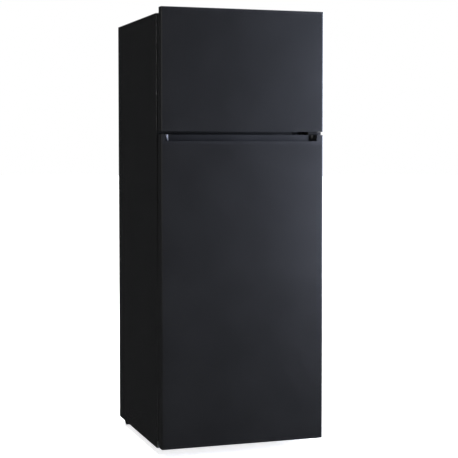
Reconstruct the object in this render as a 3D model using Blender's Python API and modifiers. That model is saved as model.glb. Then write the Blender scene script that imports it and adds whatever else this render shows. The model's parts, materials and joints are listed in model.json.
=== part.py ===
"""Two-door top freezer refrigerator, modelled piece by piece.

Metres, +Z up. The origin is the middle of the footprint on the floor. The doors face -Y
and hang on the +X side. Heights are measured from the floor.
"""

import math

import bmesh
import bpy
from mathutils import Matrix, Vector

# Overall size
WIDTH = 0.550
DEPTH = 0.570
HEIGHT = 1.430

# Clearances
TOUCH = 0.0003  # between pieces that rest on each other
RUNNING = 0.0003  # round a pin in its bore, on the radius
SLIDE = 0.0010  # round a sliding drawer

# Cabinet shell
SHEET = 0.0010
DOOR_DEPTH = 0.060  # door face to cabinet face, gasket included
DOOR_PROUD = 0.0155  # door top above cabinet top
CABINET_BOTTOM = 0.023
REAR_RETURN = 0.012
BASE_LIP = 0.022
BEHIND_BACK_SHEET = 0.0015  # air between the foam's back and the condenser space

# Walls of the cabinet, outside to inside
SIDE_WALL = 0.043
REAR_WALL = 0.050
TOP_WALL = 0.0465
FLOOR_WALL = 0.052
LINER = 0.0015
CONDENSER_SPACE = 0.007
MULLION_ABOVE = 0.033
MULLION_BELOW = 0.030
CROSSBEAM_HEIGHT = 0.0184

# Compressor bay at the bottom of the back
BAY_DEPTH = 0.160
BAY_TOP = 0.262
BAY_ROOF = 0.038
BAY_WALL = 0.045
DRAIN_Y = 0.215
DRAIN_RADIUS = 0.006
DRAIN_BORE = 0.0045

# Doors
FREEZER_DOOR_HEIGHT = 0.390
DOOR_GAP = 0.010
DOOR_BOTTOM = 0.030
SKIN_RETURN = 0.028
SKIN_JOGGLE = 0.002
DOOR_CORNER = 0.005
DOOR_BODY = 0.0483  # door face to the back of the inner liner
TOP_TRIM = 0.012
TOP_TRIM_END = 0.022
BOTTOM_TRIM = 0.008
CAP_SPIGOT = 0.014
FOOT_CAP = 0.018  # height of the lower door's bottom cap with its spigot
LINER_TOP_DROP = 0.0025  # freezer door's inner edge below the cabinet's top
PLATEAU_RISE = 0.0225
PLATEAU_FROM_WALL = 0.020
PLATEAU_FROM_TOP = 0.018  # below the fridge's ceiling
DYKE_THICKNESS = 0.015
DYKE_REACH = 0.087
GASKET_WIDTH = 0.022
GASKET_SIDE = 0.017  # gasket inset from the door's side
GASKET_END = 0.008  # gasket inset from the door's top and bottom

# Hand grip along the top of the lower door
GRIP_BAND = 0.034
GRIP_LIP_DROP = 0.0205
GRIP_LIP = 0.004
GRIP_DEPTH = 0.0275
GRIP_TROUGH = 0.062
GRIP_FLOOR = 0.006
GRIP_LEFT_END = 0.013
GRIP_RIGHT_END = 0.023
GRIP_CORNER = 0.020

# Hinges
HINGE_FROM_SIDE = 0.014
HINGE_FROM_FACE = 0.034
PIN_RADIUS = 0.004
PIN_LENGTH = 0.016
HINGE_PLATE = 0.003
HINGE_ARM = 0.010  # half the arm's width
COLLAR_RADIUS = 0.0065
SWING_NOTCH = 0.019
COVER_WALL = 0.0018
COVER_LENGTH = 0.070
COVER_SETBACK = 0.0012  # from the cabinet's side

# Shelves, drawer and bins
GLASS = 0.004
SHELF_COUNT = 2
SHELF_FRONT = 0.125  # behind the cabinet's face
LEDGE = 0.010
DRAWER_FROM_WALL = 0.020
TRAY_WALL = 0.002
BIN_DEPTH = 0.096
BIN_CORNER = 0.008
BOTTLE_BIN_HEIGHT = 0.110
MIDDLE_BIN_HEIGHT = 0.065
UPPER_BIN_HEIGHT = 0.060
FREEZER_BIN_DEPTH = 0.074
FREEZER_BIN_HEIGHT = 0.060
DRAWER_CORNER = 0.010
DRAWER_BELOW_COVER = 0.030
FREEZER_SHELF_RISE = 0.150
SHELF_FROM_BACK = 0.020
FREEZER_SHELF_FROM_BACK = 0.030
TRIM_OVERHANG = 0.009
TRIM_LAP = 0.003  # trim above and below its glass

# Evaporator plate
PLATE_FROM_BACK = 0.014
PLATE_SHEET = 0.0015
PLATE_MARGIN = 0.030
PLATE_POST_INSET = 0.020
PLATE_POST_RADIUS = 0.005

# Thermostat and lamp housing
HOUSING_HEIGHT = 0.043
HOUSING_HALF = 0.075
HOUSING_DEPTH = 0.165
HOUSING_FROM_FACE = 0.033
LAMP_ROOM_SIDE = 0.012
LAMP_ROOM_FRONT = 0.045
LAMP_ROOM_REAR = 0.010
LENS_THICKNESS = 0.0025
KNOB_X = -0.035
KNOB_RISE = 0.021  # above the housing's bottom
KNOB_PROUD = 0.0125
SHAFT_RADIUS = 0.003
SWITCH_X = 0.050
SWITCH_RISE = 0.013
SWITCH_RADIUS = 0.004
SWITCH_REACH = 0.020

# Stance
FOOT_FROM_SIDE = 0.050
FOOT_FROM_FACE = 0.150
FOOT_RADIUS = 0.018
ROLLER_RADIUS = 0.025
ROLLER_WIDTH = 0.020
ROLLER_FROM_SIDE = 0.013
ROLLER_FROM_BACK = 0.040
AXLE_RADIUS = 0.004
AXLE_HEAD = 0.003
EAR_HALF = 0.016

# Compressor
COMPRESSOR_X = -0.060
COMPRESSOR_RADIUS = 0.066
COMPRESSOR_OVAL = 1.16
COMPRESSOR_HEIGHT = 0.152
TRAY_HEIGHT = 0.0535
TRAY_SHEET = 0.002
TRAY_UPSTAND = 0.036
TRAY_FROM_BAY = 0.018
TRAY_FROM_BACK = 0.012
COMPRESSOR_SEAM = 0.085
COMPRESSOR_DOME = 0.040
FOOT_PLATE = (0.090, 0.050)  # half its width and half its depth
GROMMET_INSET = 0.010
GROMMET_HEIGHT = 0.011
RELAY_WIDTH = 0.032
RELAY_HALF_DEPTH = 0.026
RELAY_BOTTOM = 0.030
RELAY_TOP = 0.090
PAN_LEFT = 0.080
PAN_RIGHT = 0.072
PAN_HEIGHT = 0.028
SUCTION_TUBE = 0.0025

# Condenser tube between the foam and the back sheet
CONDENSER_TUBE = 0.0023
CONDENSER_PITCH = 0.070
CONDENSER_LEFT = 0.045  # from the cabinet's side to the bends
CONDENSER_RIGHT = 0.065
CONDENSER_RETURN = 0.025

# Places worked out from the sizes above
SIDE = WIDTH / 2
FACE = -DEPTH / 2
BACK = DEPTH / 2
CABINET_FACE = FACE + DOOR_DEPTH
CABINET_TOP = HEIGHT - DOOR_PROUD
INNER_SIDE = SIDE - SIDE_WALL
INNER_BACK = BACK - REAR_WALL
PLATEAU_SIDE = INNER_SIDE - PLATEAU_FROM_WALL
FREEZER_DOOR_BOTTOM = HEIGHT - FREEZER_DOOR_HEIGHT
FRIDGE_DOOR_TOP = FREEZER_DOOR_BOTTOM - DOOR_GAP
SPLIT = FRIDGE_DOOR_TOP + DOOR_GAP / 2
FREEZER_FLOOR = SPLIT + MULLION_ABOVE
FREEZER_TOP = CABINET_TOP - TOP_WALL
FRIDGE_TOP = SPLIT - MULLION_BELOW
FRIDGE_FLOOR = CABINET_BOTTOM + FLOOR_WALL
STEP_FLOOR = BAY_TOP + BAY_ROOF
BAY_FRONT = BACK - BAY_DEPTH
STEP_FRONT = BAY_FRONT - BAY_WALL
FOAM_BACK = BACK - SHEET - CONDENSER_SPACE - BEHIND_BACK_SHEET
SHEET_INSIDE = SIDE - SHEET - TOUCH
SKIN_INSIDE = SIDE - SKIN_JOGGLE - SHEET - TOUCH
SKIN_BACK = FACE + DOOR_BODY
LINER_FACE = SKIN_BACK - LINER
FOAM_FACE = LINER_FACE - TOUCH
CAP_BACK = FOAM_FACE - 0.001
PLATEAU_FACE = SKIN_BACK + PLATEAU_RISE
FREEZER_REAR_TOP = CABINET_TOP - LINER_TOP_DROP
SHELF_LINE = CABINET_FACE + SHELF_FRONT
FREEZER_SHELF = FREEZER_FLOOR + FREEZER_SHELF_RISE
DRAWER_COVER = STEP_FLOOR - GLASS
HOUSING_BOTTOM = FRIDGE_TOP - HOUSING_HEIGHT
HOUSING_FRONT = CABINET_FACE + HOUSING_FROM_FACE
SHELF_PITCH = (HOUSING_BOTTOM - DRAWER_COVER) / (SHELF_COUNT + 1)
SHELVES = [DRAWER_COVER + SHELF_PITCH * (shelf + 1) for shelf in range(SHELF_COUNT)]
ROLLER_OUTSIDE = SIDE - ROLLER_FROM_SIDE
ROLLER_INSIDE = ROLLER_OUTSIDE - ROLLER_WIDTH
ROLLER_Y = BACK - ROLLER_FROM_BACK
EAR_OUTSIDE = ROLLER_INSIDE - 0.003
EAR_INSIDE = EAR_OUTSIDE - TRAY_SHEET
TRAY_FRONT = BAY_FRONT + TRAY_FROM_BAY
TRAY_BACK = BACK - TRAY_FROM_BACK
COMPRESSOR_Y = (BAY_FRONT + BACK) / 2
COMPRESSOR_BASE = TRAY_HEIGHT + TRAY_SHEET + GROMMET_HEIGHT
CONDENSER_Y = FOAM_BACK + 0.0005 + CONDENSER_SPACE / 2
CONDENSER_JOINT = BAY_TOP - 0.030
HINGE = Vector((SIDE - HINGE_FROM_SIDE, FACE + HINGE_FROM_FACE, 0.0))
DRAIN = Vector((COMPRESSOR_X, DRAIN_Y, 0.0))
KNOB = Vector((KNOB_X, HOUSING_FRONT, HOUSING_BOTTOM + KNOB_RISE))
SWITCH = Vector((SWITCH_X, HOUSING_FRONT, HOUSING_BOTTOM + SWITCH_RISE))

PAST = 0.01  # how far a cutting tool stands past what it cuts

for old in list(bpy.data.objects):
    bpy.data.objects.remove(old, do_unlink=True)

parts = bpy.data.collections.new("top_freezer_refrigerator")
cutters = bpy.data.collections.new("cutters")
bpy.context.scene.collection.children.link(parts)
bpy.context.scene.collection.children.link(cutters)

# How an outline's own two directions and its thickness lie in the world
TURNS = {
    "X": Matrix(((0, 0, 1), (1, 0, 0), (0, 1, 0))),
    "Y": Matrix(((1, 0, 0), (0, 0, -1), (0, 1, 0))),
    "Z": Matrix.Identity(3),
}


def finish(name, colour, roughness, metallic=0.0, alpha=1.0):
    """A Principled material."""
    material = bpy.data.materials.new(name)
    material.use_nodes = True
    shader = material.node_tree.nodes["Principled BSDF"]
    shader.inputs["Base Color"].default_value = (*colour, 1.0)
    shader.inputs["Roughness"].default_value = roughness
    shader.inputs["Metallic"].default_value = metallic
    shader.inputs["Alpha"].default_value = alpha
    return material


def black_steel(name):
    return finish(name, (0.030, 0.031, 0.035), 0.38)


def black_plastic(name):
    return finish(name, (0.022, 0.022, 0.025), 0.50)


def white_plastic(name):
    return finish(name, (0.80, 0.81, 0.80), 0.35)


def clear_plastic(name):
    return finish(name, (0.80, 0.88, 0.92), 0.12, alpha=0.5)


def bare_steel(name):
    return finish(name, (0.55, 0.56, 0.57), 0.35, metallic=1.0)


def shelf_glass(name):
    return finish(name, (0.70, 0.85, 0.80), 0.05, alpha=0.35)


def dark_rubber(name):
    return finish(name, (0.020, 0.020, 0.020), 0.80)


def foam_yellow(name):
    return finish(name, (0.75, 0.66, 0.38), 0.90)


def copper(name):
    return finish(name, (0.72, 0.38, 0.24), 0.30, metallic=1.0)


def aluminium(name):
    return finish(name, (0.80, 0.81, 0.82), 0.40, metallic=1.0)


def add(piece):
    parts.objects.link(piece)
    return piece


def pivot(name, place):
    """The empty that carries a moving body, on its joint's axis."""
    empty = bpy.data.objects.new(name, None)
    empty.location = place
    empty.empty_display_size = 0.03
    return add(empty)


def keep(piece, name, material, carrier=None):
    """Name a finished piece, give it its material and hang it on its carrier."""
    piece.name = name
    piece.data.name = name
    piece.data.materials.clear()
    piece.data.materials.append(material(name))
    if carrier:
        piece.parent = carrier
        piece.matrix_parent_inverse = Matrix.Translation(-carrier.location)
    return piece


def box(low, high):
    """A box between two corners."""
    mesh = bpy.data.meshes.new("box")
    shape = bmesh.new()
    bmesh.ops.create_cube(shape, size=1.0)
    bmesh.ops.scale(shape, vec=Vector(high) - Vector(low), verts=shape.verts)
    shape.to_mesh(mesh)
    shape.free()
    piece = bpy.data.objects.new("box", mesh)
    piece.location = (Vector(low) + Vector(high)) / 2
    return add(piece)


def rod(centre, axis, low, high, radius, sides=20):
    """A cylinder along an axis, from low to high, round the other two coordinates of centre."""
    mesh = bpy.data.meshes.new("rod")
    shape = bmesh.new()
    bmesh.ops.create_cone(
        shape, cap_ends=True, segments=sides, radius1=radius, radius2=radius, depth=high - low
    )
    shape.to_mesh(mesh)
    shape.free()
    mesh.shade_smooth()
    mesh.set_sharp_from_angle(angle=math.radians(40))
    piece = bpy.data.objects.new("rod", mesh)
    piece.location = centre
    piece.location["XYZ".index(axis)] = (low + high) / 2
    piece.rotation_euler = TURNS[axis].to_euler()
    return add(piece)


def rounded(corners, closed=True, steps=4):
    """Outline points from corners given as (u, v, radius), each radius drawn as an arc."""
    points = []
    for i, (u, v, radius) in enumerate(corners):
        here = Vector((u, v))
        if radius == 0 or (not closed and i in (0, len(corners) - 1)):
            points.append(here)
            continue
        before = (Vector(corners[i - 1][:2]) - here).normalized()
        after = (Vector(corners[(i + 1) % len(corners)][:2]) - here).normalized()
        half = before.angle(after) / 2
        centre = here + (before + after).normalized() * (radius / math.sin(half))
        start = here + before * (radius / math.tan(half)) - centre
        sweep = math.pi - 2 * half
        if before.cross(after) > 0:
            sweep = -sweep
        for step in range(steps + 1):
            angle = sweep * step / steps
            points.append(centre + Matrix.Rotation(angle, 2) @ start)
    return points


def as_mesh(curve):
    """A curve object as a welded mesh object in the same place."""
    bpy.context.view_layer.update()
    seen = curve.evaluated_get(bpy.context.evaluated_depsgraph_get())
    mesh = bpy.data.meshes.new_from_object(seen)
    shape = bmesh.new()
    shape.from_mesh(mesh)
    bmesh.ops.remove_doubles(shape, verts=shape.verts, dist=0.00001)
    shape.to_mesh(mesh)
    shape.free()
    piece = bpy.data.objects.new(curve.name, mesh)
    piece.matrix_world = curve.matrix_world
    for collection in curve.users_collection:
        collection.objects.link(piece)
    bpy.data.objects.remove(curve)
    return piece


def prism(outline, axis, low, high):
    """A flat outline with a thickness along an axis. On X it lies in YZ, on Y in XZ, on Z in XY."""
    curve = bpy.data.curves.new("outline", "CURVE")
    curve.dimensions = "2D"
    curve.fill_mode = "BOTH"
    curve.extrude = (high - low) / 2
    line = curve.splines.new("POLY")
    line.points.add(len(outline) - 1)
    for point, (u, v) in zip(line.points, outline):
        point.co = (u, v, 0, 1)
    line.use_cyclic_u = True
    piece = add(bpy.data.objects.new("outline", curve))
    piece.location["XYZ".index(axis)] = (low + high) / 2
    piece.rotation_euler = TURNS[axis].to_euler()
    return as_mesh(piece)


def folded_sheet(path, axis, low, high, thickness):
    """A sheet bent along a path and extruded along an axis, with its metal on the path's left."""
    mesh = bpy.data.meshes.new("sheet")
    shape = bmesh.new()
    near = [shape.verts.new((u, v, low)) for u, v in path]
    far = [shape.verts.new((u, v, high)) for u, v in path]
    for i in range(len(path) - 1):
        shape.faces.new((near[i], near[i + 1], far[i + 1], far[i]))
    shape.to_mesh(mesh)
    shape.free()
    mesh.transform(TURNS[axis].to_4x4())
    piece = add(bpy.data.objects.new("sheet", mesh))
    shell = piece.modifiers.new("thickness", "SOLIDIFY")
    shell.thickness = thickness
    shell.offset = -1
    shell.use_even_offset = True
    return piece


def turned(profile, centre, axis="Z", steps=28, ring=False):
    """A turned piece from (radius, height) points that run down its outer side."""
    mesh = bpy.data.meshes.new("profile")
    shape = bmesh.new()
    verts = [shape.verts.new((radius, 0, height)) for radius, height in profile]
    for first, second in zip(verts, verts[1:] + verts[: 1 if ring else 0]):
        shape.edges.new((first, second))
    shape.to_mesh(mesh)
    shape.free()
    piece = add(bpy.data.objects.new("turned", mesh))
    piece.location = centre
    piece.rotation_euler = TURNS[axis].to_euler()
    screw = piece.modifiers.new("turn", "SCREW")
    screw.steps = steps
    screw.render_steps = steps
    screw.use_merge_vertices = True
    screw.merge_threshold = 0.00001
    screw.use_smooth_shade = True
    return piece


def tube(points, radius):
    """A round tube along points."""
    curve = bpy.data.curves.new("tube", "CURVE")
    curve.dimensions = "3D"
    curve.bevel_depth = radius
    curve.bevel_resolution = 2
    curve.use_fill_caps = True
    line = curve.splines.new("POLY")
    line.points.add(len(points) - 1)
    for point, place in zip(line.points, points):
        point.co = (*place, 1)
    return add(bpy.data.objects.new("tube", curve))


def smooth_route(stops, each=6):
    """Points on a smooth curve through the stops of a tube's route."""
    ends = [2 * Vector(stops[0]) - Vector(stops[1]), 2 * Vector(stops[-1]) - Vector(stops[-2])]
    knots = [ends[0], *map(Vector, stops), ends[1]]
    points = []
    for a, b, c, d in zip(knots, knots[1:], knots[2:], knots[3:]):
        for step in range(each):
            t = step / each
            cubic = (3 * b - a - 3 * c + d) * t**3
            square = (2 * a - 5 * b + 4 * c - d) * t**2
            points.append((cubic + square + (c - a) * t + 2 * b) / 2)
    points.append(knots[-2])
    return points


def combine(piece, tool, operation):
    """Cut a piece with a tool, or join the tool to it. The tool stays as a hidden guide."""
    for collection in tool.users_collection:
        collection.objects.unlink(tool)
    cutters.objects.link(tool)
    tool.hide_render = True
    tool.display_type = "WIRE"
    step = piece.modifiers.new(operation.lower(), "BOOLEAN")
    step.operation = operation
    step.object = tool
    return piece


def cut(piece, *tools):
    for tool in tools:
        combine(piece, tool, "DIFFERENCE")
    return piece


def join(piece, *tools):
    for tool in tools:
        combine(piece, tool, "UNION")
    return piece


def soften(piece, width, segments=2):
    """Round the sharp edges of a piece."""
    bevel = piece.modifiers.new("rounding", "BEVEL")
    bevel.width = width
    bevel.segments = segments
    bevel.limit_method = "ANGLE"
    bevel.angle_limit = math.radians(40)
    return piece


def tray(low, high, wall, corner):
    """An open-topped tray with rounded upright corners."""
    def upright(inset, bottom, top, radius):
        return prism(
            rounded(
                [
                    (low[0] + inset, low[1] + inset, radius),
                    (high[0] - inset, low[1] + inset, radius),
                    (high[0] - inset, high[1] - inset, radius),
                    (low[0] + inset, high[1] - inset, radius),
                ],
                steps=3,
            ),
            "Z",
            bottom,
            top,
        )

    body = upright(0, low[2], high[2], corner)
    return cut(body, upright(wall, low[2] + wall, high[2] + wall, max(corner - wall, wall)))


def mirrored(outline):
    """The same outline on the other side of the X middle, still running the same way round."""
    return [(-u, v) for u, v in reversed(outline)]


# Cabinet


def side_panels():
    """The two outer sides, each folded round the back corner."""
    right = [(SIDE, CABINET_FACE), (SIDE, BACK), (SIDE - REAR_RETURN, BACK)]
    top = CABINET_TOP - SHEET - TOUCH
    for name, path in (("right_side_panel", right), ("left_side_panel", mirrored(right))):
        keep(folded_sheet(path, "Z", CABINET_BOTTOM, top, SHEET), name, black_steel)


def top_and_back_panels():
    top = box((-SIDE, CABINET_FACE, CABINET_TOP - SHEET), (SIDE, BACK, CABINET_TOP))
    keep(top, "top_panel", black_steel)
    face = BACK - SHEET - TOUCH
    back = box(
        (-SHEET_INSIDE, face - SHEET, BAY_TOP + TOUCH),
        (SHEET_INSIDE, face, CABINET_TOP - SHEET - TOUCH),
    )
    keep(back, "back_panel", bare_steel)


def foot_places():
    return [(side * (SIDE - FOOT_FROM_SIDE), FACE + FOOT_FROM_FACE) for side in (-1, 1)]


def base_plate():
    """The steel floor, turned up at the front and stepped over the compressor bay."""
    path = [
        (CABINET_FACE, CABINET_BOTTOM + BASE_LIP),
        (CABINET_FACE, CABINET_BOTTOM),
        (BAY_FRONT, CABINET_BOTTOM),
        (BAY_FRONT, BAY_TOP),
        (FOAM_BACK - TOUCH, BAY_TOP),
    ]
    plate = folded_sheet(path, "X", -SHEET_INSIDE, SHEET_INSIDE, SHEET)
    for x, y in foot_places():
        stud_hole = rod((x, y, 0), "Z", 0, FRIDGE_FLOOR, PIN_RADIUS + RUNNING)
        cut(plate, stud_hole)
    cut(plate, rod(DRAIN, "Z", BAY_TOP - PAST, BAY_TOP + PAST, DRAIN_RADIUS + RUNNING))
    keep(plate, "base_plate", bare_steel)


def fridge_outline(grow):
    """The fridge compartment seen from the side, stepped over the compressor bay."""
    front = CABINET_FACE - PAST
    return [
        (front, FRIDGE_FLOOR - grow),
        (STEP_FRONT + grow, FRIDGE_FLOOR - grow),
        (STEP_FRONT + grow, STEP_FLOOR - grow),
        (INNER_BACK + grow, STEP_FLOOR - grow),
        (INNER_BACK + grow, FRIDGE_TOP + grow),
        (front, FRIDGE_TOP + grow),
    ]


def freezer_room(grow, front):
    return box(
        (-INNER_SIDE - grow, front, FREEZER_FLOOR - grow),
        (INNER_SIDE + grow, INNER_BACK + grow, FREEZER_TOP + grow),
    )


def fridge_room(grow):
    half = INNER_SIDE + grow
    return prism(fridge_outline(grow), "X", -half, half)


def insulation_foam():
    """The foam between the shell and the liners, with the bay cut out of it."""
    foam = box(
        (-SHEET_INSIDE, CABINET_FACE + LINER + TOUCH, CABINET_BOTTOM + SHEET + TOUCH),
        (SHEET_INSIDE, FOAM_BACK, CABINET_TOP - SHEET - TOUCH),
    )
    past = 0.02
    bay = box(
        (-SIDE - past, BAY_FRONT - SHEET - TOUCH, -past),
        (SIDE + past, BACK + past, BAY_TOP + SHEET + TOUCH),
    )
    cut(foam, bay, freezer_room(LINER + TOUCH, CABINET_FACE - past), fridge_room(LINER + TOUCH))
    for x, y in foot_places():
        cut(foam, rod((x, y, 0), "Z", 0, FRIDGE_FLOOR - 0.02, PIN_RADIUS + 0.002))
    drain_way = rod(DRAIN, "Z", BAY_TOP - past, STEP_FLOOR + past, DRAIN_RADIUS + RUNNING)
    cut(foam, drain_way)
    keep(foam, "insulation_foam", foam_yellow)


def front_flange(bottom, top):
    return box(
        (-SHEET_INSIDE, CABINET_FACE, bottom),
        (SHEET_INSIDE, CABINET_FACE + LINER, top),
    )


def ledges(height, front, back):
    """The pair of ribs in a liner's side walls that a shelf rests on."""
    for side in (-1, 1):
        inner = side * (INNER_SIDE - LEDGE)
        outer = side * (INNER_SIDE + LINER / 2)
        yield box(
            (min(inner, outer), front, height - LEDGE),
            (max(inner, outer), back, height),
        )


def freezer_liner():
    split_top = SPLIT + CROSSBEAM_HEIGHT / 2
    liner = freezer_room(LINER, CABINET_FACE + LINER / 2)
    join(liner, front_flange(split_top + TOUCH, CABINET_TOP - SHEET - TOUCH))
    cut(liner, freezer_room(0, CABINET_FACE - PAST))
    join(liner, *ledges(FREEZER_SHELF - TOUCH, SHELF_LINE, INNER_BACK - FREEZER_SHELF_FROM_BACK))
    keep(liner, "freezer_liner", white_plastic)


def fridge_liner():
    split_bottom = SPLIT - CROSSBEAM_HEIGHT / 2
    base_top = CABINET_BOTTOM + BASE_LIP
    liner = fridge_room(LINER)
    cut(liner, box((-1, FACE - 1, 0), (1, CABINET_FACE + LINER / 2, HEIGHT)))
    join(liner, front_flange(base_top + TOUCH, split_bottom - TOUCH))
    cut(liner, fridge_room(0))
    for height in SHELVES:
        join(liner, *ledges(height - TOUCH, SHELF_LINE, INNER_BACK - SHELF_FROM_BACK))
    join(liner, *ledges(DRAWER_COVER - TOUCH, SHELF_LINE, STEP_FRONT - LEDGE))
    cut(liner, rod(DRAIN, "Z", STEP_FLOOR - PAST, STEP_FLOOR + PAST, DRAIN_BORE))
    keep(liner, "fridge_liner", white_plastic)


def crossbeam():
    half = CROSSBEAM_HEIGHT / 2
    beam = front_flange(SPLIT - half, SPLIT + half)
    keep(beam, "crossbeam", black_steel)


# Hinges


def hinge_arm(bottom, back, foot_left, foot_front):
    """A flat hinge plate: a round-ended arm at the pin that widens on the cabinet."""
    outline = rounded(
        [
            (HINGE.x - HINGE_ARM, HINGE.y - HINGE_ARM, HINGE_ARM * 0.99),
            (HINGE.x + HINGE_ARM, HINGE.y - HINGE_ARM, HINGE_ARM * 0.99),
            (HINGE.x + HINGE_ARM, back, 0),
            (foot_left, back, 0),
            (foot_left, foot_front, 0.004),
            (HINGE.x - HINGE_ARM, foot_front, 0.004),
        ],
        steps=5,
    )
    return prism(outline, "Z", bottom, bottom + HINGE_PLATE)


def hinge_pin(bottom, top, collar_bottom=None, collar_top=None):
    pin = rod(HINGE, "Z", bottom, top, PIN_RADIUS)
    if collar_top:
        join(pin, rod(HINGE, "Z", collar_bottom, collar_top, COLLAR_RADIUS))
    return pin


def top_hinge():
    bottom = CABINET_TOP + TOUCH
    plate = hinge_arm(bottom, CABINET_FACE + 0.080, SIDE - 0.058, CABINET_FACE + 0.022)
    join(plate, hinge_pin(bottom - PIN_LENGTH, bottom + HINGE_PLATE / 2))
    keep(plate, "top_hinge", bare_steel)


def hinge_cover():
    """The clip-on cover over the top hinge's plate."""
    low = Vector((SIDE - COVER_LENGTH, CABINET_FACE + 0.004, CABINET_TOP + TOUCH))
    high = Vector((SIDE - COVER_SETBACK, CABINET_FACE + 0.092, HEIGHT - 0.001))
    cover = soften(box(low, high), 0.003)
    inside = box(
        (low.x + COVER_WALL, low.y + COVER_WALL, low.z - PAST),
        (high.x - COVER_WALL, high.y - COVER_WALL, high.z - COVER_WALL),
    )
    slot = box(
        (HINGE.x - HINGE_ARM - 0.001, low.y - PAST, low.z - PAST),
        (high.x - COVER_WALL, low.y + PAST, low.z + HINGE_PLATE + 0.001),
    )
    keep(cut(cover, inside, slot), "hinge_cover", black_plastic)


def face_hinge(plate_bottom, flange_bottom, flange_top, pin):
    """A hinge bracket: a flange on the cabinet's face and an arm that carries the pin."""
    flange_face = CABINET_FACE - TOUCH
    back = flange_face - HINGE_PLATE / 2
    arm = hinge_arm(plate_bottom, back, HINGE.x - HINGE_ARM - 0.012, back - 0.009)
    flange = box(
        (SIDE - 0.085, flange_face - HINGE_PLATE, flange_bottom),
        (SIDE - 0.003, flange_face, flange_top),
    )
    return join(arm, flange, pin)


def middle_hinge():
    bottom = SPLIT - HINGE_PLATE / 2
    top = SPLIT + HINGE_PLATE / 2
    half = CROSSBEAM_HEIGHT / 2 - 0.0004
    pin = hinge_pin(
        bottom - PIN_LENGTH - 0.004,
        top + PIN_LENGTH,
        SPLIT,
        FREEZER_DOOR_BOTTOM - TOUCH,
    )
    keep(face_hinge(bottom, SPLIT - half, SPLIT + half, pin), "middle_hinge", bare_steel)


def bottom_hinge():
    bottom = CABINET_BOTTOM + 0.0005
    pin = hinge_pin(
        bottom + HINGE_PLATE / 2,
        DOOR_BOTTOM + PIN_LENGTH,
        bottom + HINGE_PLATE / 2,
        DOOR_BOTTOM - TOUCH,
    )
    top = CABINET_BOTTOM + BASE_LIP - 0.001
    keep(face_hinge(bottom, bottom, top, pin), "bottom_hinge", bare_steel)


# Doors


def door_outline(back, corner=DOOR_CORNER, inset=0.0):
    """The door seen from above, with round front corners."""
    side = SIDE - inset
    return rounded(
        [
            (side, back, 0),
            (-side, back, 0),
            (-side, FACE + inset, corner),
            (side, FACE + inset, corner),
        ]
    )


def door_inside(bottom, top, back=CAP_BACK):
    """A block that fills the skin from its front to the back of the foam."""
    front = FACE + SHEET + TOUCH
    side = SKIN_INSIDE
    outline = rounded(
        [
            (side, back, 0),
            (-side, back, 0),
            (-side, front, DOOR_CORNER),
            (side, front, DOOR_CORNER),
        ],
        steps=3,
    )
    return prism(outline, "Z", bottom, top)


def door_skin(name, bottom, top, carrier):
    """The folded steel front: face, sides and a joggled edge that holds the liner."""
    return_end = FACE + SKIN_RETURN
    narrow = SIDE - SKIN_JOGGLE
    corners = [
        (-narrow, SKIN_BACK, 0),
        (-narrow, return_end + SKIN_JOGGLE, 0),
        (-SIDE, return_end, 0),
        (-SIDE, FACE, DOOR_CORNER),
        (SIDE, FACE, DOOR_CORNER),
        (SIDE, return_end, 0),
        (narrow, return_end + SKIN_JOGGLE, 0),
        (narrow, SKIN_BACK, 0),
    ]
    path = rounded(corners, closed=False, steps=6)
    skin = folded_sheet(path, "Z", bottom, top, SHEET)
    return keep(skin, name, black_steel, carrier)


def pin_bore(bottom, top):
    return rod(HINGE, "Z", bottom, top, PIN_RADIUS + RUNNING)


def door_plateau(bottom, top, grow, front, back):
    """The raised middle of a door's inner side, which enters the compartment."""
    half = PLATEAU_SIDE + grow
    return box((-half, front, bottom - grow), (half, back, top + grow))


def door_foam(name, bottom, top, plateau, carrier):
    foam = door_inside(bottom, top, FOAM_FACE)
    rise = PLATEAU_FACE - LINER - TOUCH
    join(foam, door_plateau(*plateau, -LINER - TOUCH, FOAM_FACE - 0.0005, rise))
    keep(foam, name, foam_yellow, carrier)


def door_liner(name, bottom, top, plateau, dykes, reach, carrier):
    """The formed plastic inside of a door, with an upright dyke each side to hold the bins."""
    half = SKIN_INSIDE
    liner = box((-half, LINER_FACE, bottom), (half, SKIN_BACK, top))
    join(liner, door_plateau(*plateau, 0, LINER_FACE + LINER / 2, PLATEAU_FACE))
    cut(liner, door_plateau(*plateau, -LINER, LINER_FACE - PAST, PLATEAU_FACE - LINER))
    for side in (-1, 1):
        outer = side * PLATEAU_SIDE
        inner = side * (PLATEAU_SIDE - DYKE_THICKNESS)
        dyke = box(
            (min(outer, inner), PLATEAU_FACE - LINER / 2, dykes[0]),
            (max(outer, inner), SKIN_BACK + reach, dykes[1]),
        )
        join(liner, soften(dyke, 0.003))
    keep(liner, name, white_plastic, carrier)


def gasket(name, bottom, top, carrier):
    """The magnetic seal between the door and the cabinet's face."""
    outer_x = SIDE - GASKET_SIDE
    front = SKIN_BACK + TOUCH
    back = CABINET_FACE - TOUCH
    ring = box((-outer_x, front, bottom), (outer_x, back, top))
    inside = box(
        (-outer_x + GASKET_WIDTH, front - PAST, bottom + GASKET_WIDTH),
        (outer_x - GASKET_WIDTH, back + PAST, top - GASKET_WIDTH),
    )
    keep(cut(ring, inside), name, dark_rubber, carrier)


def door_bin(name, bottom, height, depth, carrier):
    """An open bin that sits between the dykes."""
    half = PLATEAU_SIDE - DYKE_THICKNESS - 2 * TOUCH
    front = PLATEAU_FACE + 2 * TOUCH
    low, high = (-half, front, bottom), (half, front + depth, bottom + height)
    keep(tray(low, high, TRAY_WALL, BIN_CORNER), name, clear_plastic, carrier)


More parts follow.
